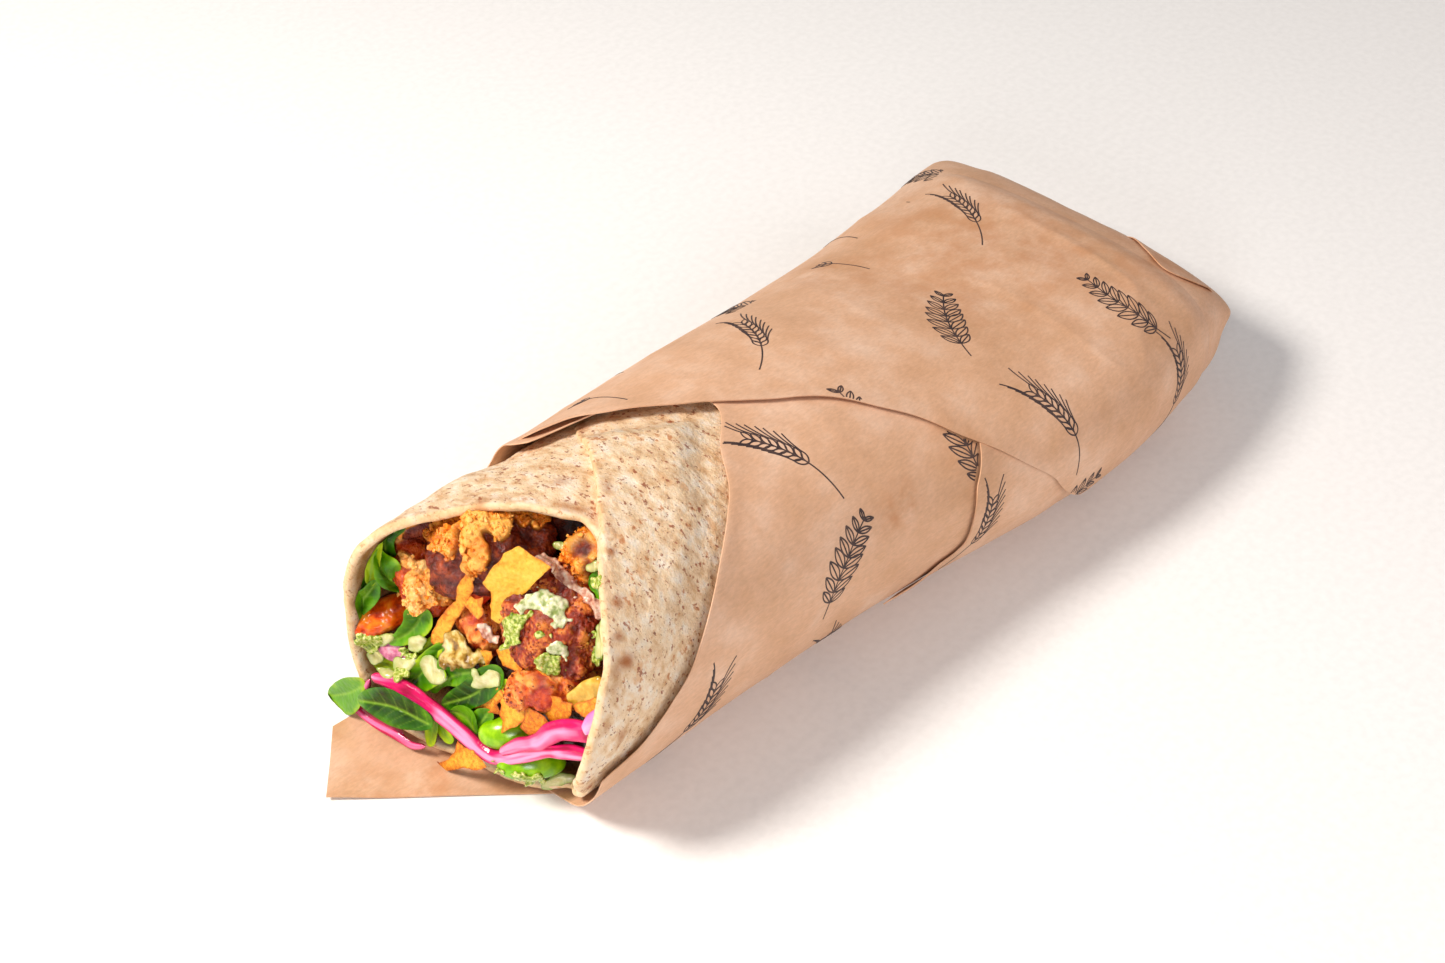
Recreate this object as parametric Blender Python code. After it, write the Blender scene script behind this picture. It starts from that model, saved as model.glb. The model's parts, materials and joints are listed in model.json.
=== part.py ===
"""Chicken wrap in a sheet of kraft paper, lying on its side and open at one end.

Lengths in the named constants are millimetres and are turned into metres as the meshes are made.
+X runs along the wrap from the open end to the folded end, -Y is the near side, +Z is up.
Angles round the roll are degrees: 0 at the floor, 90 on the near side, 180 on top, 270 on the far side.
"""
import math

import bmesh
import bpy
import numpy as np
from mathutils import Vector, noise

MM = 0.001
GAP = 0.32                  # kept between neighbouring pieces
PAPER = 0.6                 # thickness of the sheet
LAP = 0.9                   # from one layer of the sheet to the next
TORTILLA = 2.0              # thickness of the tortilla
TORTILLA_DEPTH = 2.5        # outside of the tortilla below the outside of the roll
TORTILLA_END = 17.0         # from the folded end of the paper back to the end of the tortilla
TORTILLA_NECK = (1.4, 145, 172)     # how much the tortilla narrows at its end, and where
BULGE = 1.4                 # of the tortilla where no paper holds it
FLAP_STEP = 3.0             # depth of the tortilla under its last flap
FLOOR_SAG = 2.0             # how far the round underside is pressed flat by its weight
CREASE_SIZE = 17.0          # from one fold of the crushed sheet to the next
CREASE_HEIGHT = 0.5
AROUND = 30                 # points round the roll
SLIVER = 0.06               # edges of the sheet shorter than this are closed up
THIN = 0.02                 # height of a triangle that is as good as a line

# Angles where the sheet steps to its outermost layer on the far side, and where it leaves it again
FAR_TOP = (207, 232)
FAR_FLOOR = (320, 352)

# Outside of the wrapped roll, at stations along it
STATIONS = [0, 30, 65, 100, 130, 155, 175, 190, 200]
HALF_WIDTHS = [34.5, 35.8, 38.5, 42.2, 45.5, 46.6, 46.4, 46.8, 48.5]
HEIGHTS = [65.5, 63.0, 58.5, 52.0, 45.8, 42.5, 39.5, 34.0, 26.0]
CENTRES = [0, -0.4, -0.7, -1.9, -2.6, -1.0, 2.0, 5.0, 8.0]
SQUARE_AT = [0, 100, 170, 200]
SQUARENESS = [2.1, 2.2, 2.6, 3.3]
LOWER_SQUARENESS_NEAR = [2.25, 2.3, 2.6, 3.3]
LOWER_SQUARENESS_FAR = [2.8, 2.4, 2.6, 3.3]

# Edges of the layers: angle round the roll, then distance along it
TORTILLA_RIM = [(0, -15.5), (20, -11.5), (30, -9), (44, -12), (60, -14.5), (72, -18), (80, -19),
                (92, -16.5), (109, -11.5), (124, -6.5), (142, -1), (151, 2.8), (161, 7.6), (168, 8.6),
                (175, 6.5), (185, 3.2), (198, -1.2), (207, -4.5), (213, -7.5), (220, -12), (229, -16.5),
                (239, -19.3), (252, -21), (270, -21.8), (290, -22), (305, -22.4), (320, -22), (340, -19),
                (360, -15.5)]
FLAP_EDGE = [(143, 0.4), (151, 3.9), (161, 8.6), (165, 10.6), (171, 13.2), (181, 18.8), (194, 24.8),
             (208, 28.8), (214, 31)]
PAPER_EDGE = [(0, -9), (22, -10), (50, -13), (73, -13.5), (78, -4.8), (86, 1.5), (96, 8.5), (107, 13.5),
              (127, 23.5), (140, 31.2), (150, 37), (163, 42.5), (180, 52.2), (193, 50), (205, 34), (215, 19),
              (222, 18), (232, 19.5), (245, 20), (262, 16), (285, 7), (310, -4), (335, -9), (360, -9)]
OUTER_FLAP_EDGE = [(52, 133), (68, 127), (78, 121), (94, 113), (105, 107), (117, 101), (130, 93.5),
                   (142, 87.8), (151, 81.5), (162, 73.5), (172, 60.5), (179, 52.5), (184, 46.5), (192, 39.8),
                   (200, 33.2), (208, 28.5), (213, 23.5), (217, 21), (229, 20.5)]
CREASE_EDGE = [(58, 70), (68, 77.8), (74, 82), (77, 85.8), (81, 88), (89, 89.2), (96, 90), (105, 91.2),
               (113, 93.8), (121, 96.2), (128, 98)]
FOLDED_END = [(0, 180), (40, 181), (70, 184), (90, 190.5), (110, 198), (128, 198), (150, 195.5), (180, 195),
              (205, 194.5), (230, 193), (250, 191), (290, 187), (325, 183), (360, 180)]
# Angles between which each lap lies, and how far along the roll it reaches
OUTER_FLAP_ANGLES = (52, 229)
OUTER_FLAP_BACK = 186
CREASE_ANGLES = (58, 128)
CREASE_BACK = 126
FLAP_ANGLES = (143, 214)
FLAP_BACK = 66

# Loose tail of the sheet on the floor, seen from above
TAIL = [(-42.1, 20.4), (-28.0, 35.0), (-13.0, 33.0), (4.0, 16.0), (9.0, -6.0), (-8.6, -13.6)]

# The open end is laid out as it is seen from in front of its near corner: eye, distance and middle
VIEW_TURN = math.radians(-47.68)
VIEW_TILT = math.radians(42)
VIEW_BACK = np.array([math.sin(VIEW_TURN) * math.cos(VIEW_TILT), -math.cos(VIEW_TURN) * math.cos(VIEW_TILT),
                      math.sin(VIEW_TILT)])
VIEW_RIGHT = np.array([math.cos(VIEW_TURN), math.sin(VIEW_TURN), 0.0])
VIEW_UP = np.cross(VIEW_BACK, VIEW_RIGHT)
EYE = np.array([60.4, 3.9, 30.0]) + 500 * VIEW_BACK
PLANE_DISTANCE = 467.5
PLANE_SHIFT = (-45.2, -28.2)


def curve(at, xs, ys):
    """Smooth curve through named stations that never overshoots them; straight beyond the ends."""
    xs = np.asarray(xs, float)
    ys = np.asarray(ys, float)
    at = np.asarray(at, float)
    step = np.diff(xs)
    slope = np.diff(ys) / step
    same = slope[:-1] * slope[1:] > 0
    safe = np.where(same, slope[:-1] + slope[1:], 1.0)
    tangent = np.concatenate([slope[:1], np.where(same, 2 * slope[:-1] * slope[1:] / safe, 0.0), slope[-1:]])
    i = np.clip(np.searchsorted(xs, at) - 1, 0, len(xs) - 2)
    raw = (at - xs[i]) / step[i]
    t = np.clip(raw, 0, 1)
    value = (ys[i] * (1 + 2 * t) * (1 - t) ** 2 + tangent[i] * step[i] * t * (1 - t) ** 2
             + ys[i + 1] * t * t * (3 - 2 * t) + tangent[i + 1] * step[i] * t * t * (t - 1))
    beyond = (raw - t) * step[i]
    return value + beyond * np.where(raw < 0, tangent[i], tangent[i + 1])


def edge(angle, table):
    """Distance along the roll of a layer's edge at an angle in degrees."""
    return curve(angle, [a for a, _ in table], [x for _, x in table])


def rise(value, start, stop):
    """Soft step from 0 at start to 1 at stop."""
    t = np.clip((np.asarray(value, float) - start) / (stop - start), 0, 1)
    return t * t * (3 - 2 * t)


def skin(x, angle, depth):
    """Points of a layer that lies `depth` inside the outermost paper."""
    x, angle, depth = np.broadcast_arrays(x, angle, depth)
    turn = np.radians(angle)
    half = curve(x, STATIONS, HEIGHTS) / 2
    width = curve(x, STATIONS, HALF_WIDTHS) - depth
    side = -np.sin(turn)
    lift = -np.cos(turn)
    lower = np.where(side < 0, np.interp(x, SQUARE_AT, LOWER_SQUARENESS_NEAR),
                     np.interp(x, SQUARE_AT, LOWER_SQUARENESS_FAR))
    power = 2 / np.where(lift < 0, lower, np.interp(x, SQUARE_AT, SQUARENESS))
    y = curve(x, STATIONS, CENTRES) + width * np.sign(side) * np.abs(side) ** power
    reach = half - depth + np.where(lift < 0, FLOOR_SAG, 0.0)
    z = half + reach * np.sign(lift) * np.abs(lift) ** power
    floor = np.maximum(depth - LAP, 0.0)
    return np.stack([x, y, np.maximum(z, floor)], axis=-1)


def crumple(points):
    """Folds of the crushed sheet: one noise value for each point, longer along the roll than across it."""
    flat = points.reshape(-1, 3) / CREASE_SIZE * (1.0, 1.6, 1.6)
    values = np.array([noise.noise(Vector(p)) for p in flat])
    return CREASE_HEIGHT * np.clip(values * 1.4 + 0.5, 0, 1).reshape(points.shape[:-1])


def paper_depth(x, angle):
    """The sheet spirals: outermost on the far side, one lap lower on the near side and the top."""
    far = rise(angle, *FAR_TOP) * (1 - rise(angle, *FAR_FLOOR))
    base = LAP * (1 - far)
    free = rise(x, 30, 60) * (1 - rise(x, 170, 184))
    return base - free * crumple(skin(x, angle, base)) * (1 - far) * (1 - 0.2 * rise(angle, 20, 60))


def in_the_open(x, angle):
    """1 where the tortilla lies bare, fading to 0 short of the paper's nearest edge."""
    outer = np.where(angle < OUTER_FLAP_ANGLES[1], edge(angle, OUTER_FLAP_EDGE), 1000.0)
    return 1 - rise(x - np.minimum(edge(angle, PAPER_EDGE), outer), -14, -3)


def tortilla_depth(x, angle):
    """Outside of the rolled tortilla: it bulges where it lies bare and steps down under its last flap."""
    bare = in_the_open(x, angle) * rise(angle, 55, 85) * (1 - rise(angle, 272, 300))
    neck, start, stop = TORTILLA_NECK
    base = TORTILLA_DEPTH - bare * BULGE * (1 + 0.5 * rise(angle, 205, 225)) + neck * rise(x, start, stop)
    under = rise(angle, 148, 163) * (1 - rise(angle, 205, 232)) * (1 - rise(x, 52, 72))
    return base + under * (FLAP_STEP - base)


def flap_depth(x, angle):
    """Outside of the flap that closes the roll."""
    return TORTILLA_DEPTH - in_the_open(x, angle) * BULGE * (1 + 0.43 * rise(angle, 150, 170))


def make_object(name, points, faces, material):
    """A closed mesh in metres, triangulated, with its faces pointing out."""
    mesh = bpy.data.meshes.new(name)
    mesh.from_pydata([Vector(p) * MM for p in points], [], faces)
    work = bmesh.new()
    work.from_mesh(mesh)
    bmesh.ops.remove_doubles(work, verts=work.verts, dist=1e-6)
    bmesh.ops.triangulate(work, faces=work.faces)
    bmesh.ops.recalc_face_normals(work, faces=work.faces)
    if work.calc_volume(signed=True) < 0:
        bmesh.ops.reverse_faces(work, faces=work.faces)
    work.to_mesh(mesh)
    work.free()
    obj = bpy.data.objects.new(name, mesh)
    bpy.context.scene.collection.objects.link(obj)
    if material:
        mesh.materials.append(material)
    return obj


def ring_faces(rows, around):
    """Quads between closed rings of vertices stored one ring after another."""
    faces = []
    for a in range(0, (rows - 1) * around, around):
        b = a + around
        for j in range(around):
            k = (j + 1) % around
            faces.append((a + j, a + k, b + k, b + j))
    return faces


def closed_rings(name, rings, material):
    """A body made of closed rings, shut by a fan of triangles at both ends."""
    around = len(rings[0])
    points = [tuple(p) for ring in rings for p in ring]
    faces = ring_faces(len(rings), around)
    for at, ring in ((0, rings[0]), ((len(rings) - 1) * around, rings[-1])):
        points.append(tuple(np.mean(ring, axis=0)))
        tip = len(points) - 1
        faces += [(at + j, at + (j + 1) % around, tip) for j in range(around)]
    return make_object(name, points, faces, material)


def patch(name, outer, inner, material):
    """A body between two open grids of the same size, with walls along the four edges."""
    rows, cols = outer.shape[:2]
    points = [tuple(p) for p in outer.reshape(-1, 3)] + [tuple(p) for p in inner.reshape(-1, 3)]
    size = rows * cols
    faces = []
    for i in range(rows - 1):
        for j in range(cols - 1):
            a = i * cols + j
            for quad in ((a, a + 1, a + cols + 1), (a, a + cols + 1, a + cols)):
                faces.append(quad)
                faces.append(tuple(size + v for v in reversed(quad)))
    top = list(range(cols))
    right = [i * cols + cols - 1 for i in range(1, rows)]
    bottom = [(rows - 1) * cols + j for j in range(cols - 2, -1, -1)]
    left = [i * cols for i in range(rows - 2, 0, -1)]
    loop = top + right + bottom + left
    for a, b in zip(loop, loop[1:] + loop[:1]):
        faces.append((a, b, size + b, size + a))
    return make_object(name, points, faces, material)


def cup_rings(front, back, depth_at, rows, inset, angles):
    """Rings of a cup that is open at `front` and closed by an end face at `back`."""
    rings = []
    for t in rows:
        x = front + (back - front) * t
        rings.append(skin(x, angles, depth_at(x, angles) + inset))
    last = rings[-1]
    middle = np.mean(last, axis=0)
    middle[2] = last[:, 2].max() * 0.5
    for shrink, bulge in ((0.90, 2.0), (0.62, 2.6), (0.28, 2.2)):
        ring = middle + (last - middle) * shrink
        ring[:, 0] = last[:, 0] * shrink + middle[0] * (1 - shrink) + bulge
        rings.append(ring)
    return rings


def cup(name, front, back, depth_at, wall, rows, material, lip, grow=0.0):
    """Closed-ended tube with one wall thickness and a round `lip`; `grow` swells it on every side."""
    angles = np.arange(AROUND) * 360 / AROUND
    x_front = edge(angles, front) - grow
    x_back = edge(angles, FOLDED_END) - back
    outside = cup_rings(x_front + lip, x_back + grow, depth_at, rows, -grow, angles)
    inside = cup_rings(x_front + lip, x_back - wall - grow, depth_at, rows, wall + grow, angles)
    face = [skin(x_front, angles, depth_at(x_front, angles) + wall * part) for part in (0.25, 0.75)]
    chain = outside[::-1] + face + inside
    return closed_rings(name, chain, material)


def flap(name, table, limits, back, outer_at, inner_at, cols, rows, grow=0.0):
    """Layer of a sheet over part of the roll, its edge following a table; it is fused on afterwards."""
    angles = np.linspace(limits[0] - grow, limits[1], cols)
    front = edge(angles, table) - grow
    t = np.linspace(0, 1, rows)[:, None] ** 1.4
    x = front[None, :] + (back - front[None, :]) * t
    angle = np.broadcast_to(angles, x.shape)
    outer = skin(x, angle, outer_at(x, angle) - grow)
    inner = skin(x, angle, inner_at(x, angle) + grow)
    return patch(name, outer, inner, None)


def shaped(target, tool, operation, solver):
    """Mesh of one object joined with or cut by another."""
    modifier = target.modifiers.new("Shape", 'BOOLEAN')
    modifier.operation = operation
    modifier.solver = solver
    modifier.object = tool
    graph = bpy.context.evaluated_depsgraph_get()
    graph.update()
    mesh = bpy.data.meshes.new_from_object(target.evaluated_get(graph))
    target.modifiers.remove(modifier)
    return mesh


def volume(mesh):
    """Volume inside a closed mesh."""
    work = bmesh.new()
    work.from_mesh(mesh)
    amount = work.calc_volume(signed=True)
    work.free()
    return amount


def combine(target, tools, operation):
    """Join or cut with other objects, which are then removed.

    A join never loses volume and these cuts take off less than nine tenths, so a result outside that is
    made again with the other solver.
    """
    for tool in tools:
        before = volume(target.data)
        least = before * 0.99 if operation == 'UNION' else before * 0.1
        mesh = shaped(target, tool, operation, 'EXACT')
        if volume(mesh) < least:
            mesh = shaped(target, tool, operation, 'MANIFOLD')
        target.data = mesh
        bpy.data.objects.remove(tool)


def keep_main_body(obj):
    """Drop the scraps that a cut leaves and keep the largest piece."""
    work = bmesh.new()
    work.from_mesh(obj.data)
    bmesh.ops.triangulate(work, faces=work.faces)
    left = set(work.faces)
    bodies = []
    while left:
        stack = [left.pop()]
        body = []
        while stack:
            face = stack.pop()
            body.append(face)
            for side in face.edges:
                for other in side.link_faces:
                    if other in left:
                        left.discard(other)
                        stack.append(other)
        bodies.append(body)
    bodies.sort(key=lambda body: -sum(face.calc_area() for face in body))
    for body in bodies[1:]:
        bmesh.ops.delete(work, geom=body, context='FACES')
    loose = [v for v in work.verts if not v.link_faces]
    bmesh.ops.delete(work, geom=loose, context='VERTS')
    work.to_mesh(obj.data)
    work.free()


def as_cutter(obj):
    """Mark an object as a tool that only cuts others."""
    obj.hide_render = True
    obj.display_type = 'WIRE'
    return obj


def can_close(edge):
    """True if the ends of an edge share two neighbours only, so that merging them keeps the mesh closed."""
    near = [{side.other_vert(vertex) for side in vertex.link_edges} for vertex in edge.verts]
    return len(near[0] & near[1]) == 2


def close_slivers(obj):
    """Merge the ends of very short edges that a join leaves, then turn the long edge of thin triangles."""
    work = bmesh.new()
    work.from_mesh(obj.data)
    bmesh.ops.triangulate(work, faces=work.faces)
    while True:
        short = [edge for edge in work.edges if edge.calc_length() < SLIVER * MM and can_close(edge)]
        if not short:
            break
        end, start = min(short, key=lambda edge: edge.calc_length()).verts
        bmesh.ops.weld_verts(work, targetmap={end: start})
    for _ in range(3):
        for face in list(work.faces):
            if not face.is_valid:
                continue
            longest = max(face.edges, key=lambda edge: edge.calc_length())
            if face.calc_area() < 0.5 * THIN * MM * longest.calc_length():
                bmesh.utils.edge_rotate(longest)
    work.to_mesh(obj.data)
    work.free()


def cutter_copy(obj):
    """Copy of a cutter with a mesh of its own, which a cut uses up."""
    tool = bpy.data.objects.new(obj.name, obj.data.copy())
    bpy.context.scene.collection.objects.link(tool)
    return as_cutter(tool)


def swollen_copy(obj):
    """Copy of a closed piece with its surface moved out, used to keep a gap round the piece."""
    tool = cutter_copy(obj)
    work = bmesh.new()
    work.from_mesh(tool.data)
    work.normal_update()
    for vertex in work.verts:
        vertex.co += vertex.normal * (GAP * MM * 1.15)
    work.to_mesh(tool.data)
    work.free()
    return tool


def bounds(obj, margin=0.0):
    """Lowest and highest corner of an object, in metres."""
    points = np.array([v.co for v in obj.data.vertices])
    return points.min(axis=0) - margin, points.max(axis=0) + margin


def clear(piece, others):
    """Cut the piece back wherever it would touch a neighbour that was placed before it."""
    low, high = bounds(piece, GAP * MM * 2)
    near = []
    for other in others:
        other_low, other_high = bounds(other)
        if (low < other_high).all() and (other_low < high).all():
            near.append(swollen_copy(other))
    if near:
        combine(piece, near, 'DIFFERENCE')
        keep_main_body(piece)


def principled(name, colour, roughness):
    """Material with a colour given as red, green and blue from 0 to 255."""
    material = bpy.data.materials.new(name)
    material.use_nodes = True
    shader = material.node_tree.nodes["Principled BSDF"]
    linear = [(c / 255) ** 2.2 for c in colour]
    shader.inputs["Base Color"].default_value = (*linear, 1.0)
    shader.inputs["Roughness"].default_value = roughness
    shader.inputs["Metallic"].default_value = 0.0
    material.diffuse_color = (*linear, 1.0)
    return material


def unit(vector):
    """Vector of length one."""
    vector = np.asarray(vector, float)
    return vector / np.linalg.norm(vector)


# Direction that the flat pieces in the open end face
FRONT = unit(VIEW_BACK + unit((-1.0, -0.1, 0.25)))


def frame_of(along, facing):
    """Three square directions: along, across and out, with out as near `facing` as it can be."""
    along = unit(along)
    across = unit(np.cross(facing, along))
    return along, across, np.cross(along, across)


def smooth_path(points, count):
    """Evenly spread points on a soft curve through a few named ones."""
    points = np.asarray(points, float)
    reach = np.concatenate([[0], np.cumsum(np.linalg.norm(np.diff(points, axis=0), axis=1))])
    at = np.linspace(0, reach[-1], count)
    if len(points) == 2:
        return points[0] + (points[1] - points[0]) * (at / reach[-1])[:, None]
    return np.stack([curve(at, reach, points[:, k]) for k in range(3)], axis=1)


def lump(name, centre, radii, along, material, seed, crag=0.12, grain=6.0, cols=12, rows=8, bend=0.0):
    """Uneven rounded chunk; crags are relief, and `bend` curves it along its length."""
    axes = np.array(frame_of(along, VIEW_BACK))
    rings = []
    for i in range(rows):
        v = math.pi * (i + 0.5) / rows
        u = 2 * math.pi * np.arange(cols) / cols
        local = np.stack([np.full(cols, -math.cos(v)), np.sin(v) * np.cos(u), np.sin(v) * np.sin(u)], axis=1)
        local = np.sign(local) * np.abs(local) ** 0.9
        body = local * np.asarray(radii)
        here = [noise.noise(Vector(p / grain + seed)) + 0.5 * noise.noise(Vector(p / grain * 2.1 - seed))
                for p in body]
        body = body * (1 + crag * np.array(here))[:, None]
        body[:, 2] -= bend * (body[:, 0] / radii[0]) ** 2
        rings.append(np.asarray(centre) + body @ axes)
    return closed_rings(name, rings, material)


def strip(name, points, width, thick, facing, material, taper=0.25, cup_up=0.0, count=6, across=2,
          ripple=0.0, seed=0.0):
    """Flat strip along a path: `width` wide, curved across by `cup_up`, rough-edged by `ripple`."""
    path = smooth_path(points, count)
    s = np.linspace(0, 1, count)
    u = np.linspace(-1, 1, across + 1)
    outer = np.zeros((count, across + 1, 3))
    inner = np.zeros_like(outer)
    for i in range(count):
        _, side, out = frame_of(path[min(i + 1, count - 1)] - path[max(i - 1, 0)], facing)
        narrow = 1 - taper * abs(2 * s[i] - 1) ** 3
        ragged = 1 + ripple * noise.noise(Vector((i * 0.9 + seed, seed, 0.3)))
        for j in range(across + 1):
            lift = cup_up * (1 - u[j] ** 2) + ripple * noise.noise(Vector((i * 0.7, j * 0.9, seed)))
            middle = path[i] + side * (u[j] * width / 2 * narrow * ragged) + out * lift
            outer[i, j] = middle + out * (thick / 2)
            inner[i, j] = middle - out * (thick / 2)
    return patch(name, outer, inner, material)


def leaf(name, points, width, facing, material, curl, waves, count, across, seed, thick=0.7):
    """Thin wavy leaf along its midrib: widest in the middle, with `waves` frills of height `curl`."""
    path = smooth_path(points, count)
    s = np.linspace(0, 1, count)
    u = np.linspace(-1, 1, across + 1)
    middle = np.zeros((count, across + 1, 3))
    for i in range(count):
        _, side, out = frame_of(path[min(i + 1, count - 1)] - path[max(i - 1, 0)], facing)
        half = width / 2 * (0.22 + 0.78 * math.sin(math.pi * min(0.06 + 0.9 * s[i], 1.0)) ** 0.75)
        for j in range(across + 1):
            phase = 2 * math.pi * waves * s[i] + seed + (2.2 if u[j] < 0 else 0)
            lift = curl * abs(u[j]) ** 1.5 * math.sin(phase)
            middle[i, j] = path[i] + side * (half * u[j]) + out * lift
    rows = np.gradient(middle, axis=0)
    columns = np.gradient(middle, axis=1)
    outs = np.cross(columns, rows)
    outs /= np.linalg.norm(outs, axis=2)[..., None]
    return patch(name, middle + outs * (thick / 2), middle - outs * (thick / 2), material)


def mouth(y, z):
    """Distance along the roll of the surface that the filling shows in the open end."""
    upper = np.clip(z / 62, 0, 1) ** 1.3 * np.interp(y, [-34, 0, 20, 36], [1.0, 1.0, 0.75, 0.25])
    return -17 + 20 * upper - 3 * np.clip(y / 34, 0, 1) ** 2


def seen(across, up, lift=0.0):
    """Point on the surface of the filling, `across` and `up` from the middle of the open end as it is seen.

    A positive `lift` brings the point nearer to the viewer and keeps it in the same line of sight.
    """
    ray = VIEW_RIGHT * (across + PLANE_SHIFT[0]) + VIEW_UP * (up + PLANE_SHIFT[1])
    ray = ray - VIEW_BACK * PLANE_DISTANCE
    near = 0.6
    far = 1.3
    for _ in range(40):
        half = (near + far) / 2
        point = EYE + ray * half
        if point[0] > mouth(point[1], point[2]):
            far = half
        else:
            near = half
    return EYE + ray * near - unit(ray) * lift


def build_paper(material):
    """One sheet round the roll, its outer flap and a creased lap fused on, with the tail on the floor."""
    rows = [0, 0.16, 0.34, 0.52, 0.7, 0.88, 1.0]
    body = cup("paper_wrapper", PAPER_EDGE, 0.0, paper_depth, PAPER, rows, material, lip=0.3)

    fused = LAP + 0.4 * PAPER

    def outer_flap_top(x, angle):
        root = rise(angle, 212, OUTER_FLAP_ANGLES[1])
        end = rise(x, OUTER_FLAP_BACK - 10, OUTER_FLAP_BACK)
        swell = crumple(skin(x, angle, 0.0)) * rise(angle, OUTER_FLAP_ANGLES[0], 70)
        return -swell * (1 - root) * (1 - end) + 0.3 * root + 1.1 * end

    def outer_flap_under(x, angle):
        root = rise(angle, FAR_TOP[0], OUTER_FLAP_ANGLES[1])
        return fused - 0.7 * root + 0.2 * rise(x, OUTER_FLAP_BACK - 10, OUTER_FLAP_BACK)

    over = flap("outer_flap", OUTER_FLAP_EDGE, OUTER_FLAP_ANGLES, OUTER_FLAP_BACK,
                outer_flap_top, outer_flap_under, 17, 6)

    def crease_top(x, angle):
        return 0.3 - crumple(skin(x, angle, 0.0)) + 0.7 * rise(x, CREASE_BACK - 14, CREASE_BACK)

    def crease_under(x, angle):
        return np.full(np.shape(x), fused)

    lap = flap("creased_lap", CREASE_EDGE, CREASE_ANGLES, CREASE_BACK, crease_top, crease_under, 7, 3)
    low = np.array([(x, y, 0.0) for x, y in TAIL])
    tail = closed_rings("tail", [low, low + (0, 0, PAPER * 0.9)], None)
    combine(body, [over, lap, tail], 'UNION')
    keep_main_body(body)
    close_slivers(body)
    return body


def build_tortilla(name, material, grow=0.0):
    """Rolled tortilla: a cup whose rim is the open end, with the last flap lying over the top."""
    rows = [0, 0.07, 0.15, 0.25, 0.38, 0.6, 0.82, 1.0]
    body = cup(name, TORTILLA_RIM, TORTILLA_END, tortilla_depth, TORTILLA, rows, material, 0.9, grow)

    def top(x, angle):
        root = 1 - rise(angle, FLAP_ANGLES[0], 152)
        return flap_depth(x, angle) + 0.5 * root + 0.5 * rise(x, FLAP_BACK - 10, FLAP_BACK)

    def under(x, angle):
        root = 1 - rise(angle, FLAP_ANGLES[0], 158)
        return FLAP_STEP + 0.4 * TORTILLA - 0.4 * root - 0.3 * rise(x, FLAP_BACK - 8, FLAP_BACK)

    over = flap("flap", FLAP_EDGE, FLAP_ANGLES, FLAP_BACK, top, under, 13, 6, grow)
    combine(body, [over], 'UNION')
    keep_main_body(body)
    return body


def build_core(material):
    """The filling through the middle of the roll; its uneven face lies behind the pieces that show."""
    angles = np.arange(20) * 18.0
    depth = TORTILLA_DEPTH + TORTILLA + GAP + 0.8
    start = edge(angles, TORTILLA_RIM) + 7
    shape = skin(start, angles, depth)
    front = np.maximum(mouth(shape[:, 1], shape[:, 2]) + 11, start)
    back = edge(angles, FOLDED_END) - TORTILLA_END - 5
    rings = []
    for t in (0, 0.12, 0.3, 0.5, 0.7, 0.88, 1.0):
        x = front + (back - front) * t
        rings.append(skin(x, angles, depth + 2.0 * rise(t, 0.6, 0.85)))
    first = rings[0]
    middle = first.mean(axis=0)
    face = []
    for shrink in (0.84, 0.62, 0.4, 0.2):
        ring = middle + (first - middle) * shrink
        bumps = np.array([noise.noise(Vector(p / 7.0)) for p in ring])
        ring[:, 0] = mouth(ring[:, 1], ring[:, 2]) + 13 + 3.0 * bumps
        face.append(ring)
    return closed_rings("filling_core", face[::-1] + rings, material)


def route(points, lift=0.0):
    """Path over the filling through (across, up) or (across, up, lift) points."""
    return [seen(p[0], p[1], p[2] if len(p) > 2 else lift) for p in points]


def build_corn_strips(material):
    """Fried strips of corn tortilla, some upright in the filling and some lying along its lower edge."""
    pieces = []

    def corn(name, width, points, facing=FRONT, cup_up=0.0):
        pieces.append(strip("corn_strip_" + name, route(points), width, 1.1, facing, material,
                            cup_up=cup_up, ripple=0.25, seed=len(pieces) + 1.0))

    corn("large", 10.0, [(7.7, 13.0, 5), (2.4, 7.7, 6), (-0.6, -0.4, 4)], cup_up=1.8)
    corn("long", 4.4, [(-5.3, 9.4, 4.5), (-7.7, 3.7, 4.5), (-12.6, -5.1, 3)])
    corn("upright", 3.6, [(4.1, -1.4, 4.5), (6.1, -8.5, 3.5)])
    corn("slanting", 4.0, [(0.0, -6.5, 3), (5.1, -8.9, 3.5), (11.6, -14.2, 2.5)])
    corn("small", 3.4, [(-2.2, -5.7, 2.5), (-3.7, -12.2, 2)])
    corn("low_a", 5.2, [(1.6, -15.0, 3), (3.9, -23.0, 3.5)])
    corn("low_b", 6.0, [(5.7, -17.5, 2.5), (10.2, -23.4, 4)])
    corn("low_c", 5.4, [(9.8, -19.7, 2), (14.8, -17.9, 2)])
    corn("right", 5.0, [(15.9, -19.7, 2), (21.1, -15.9, 2)])
    corn("left", 4.0, [(-4.1, -17.5, 2), (1.0, -15.9, 2)])
    corn("lip", 6.0, [(-11.0, -28.9, 7), (-3.3, -27.0, 6)], facing=(-0.5, -0.3, 0.8))
    return pieces


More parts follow.
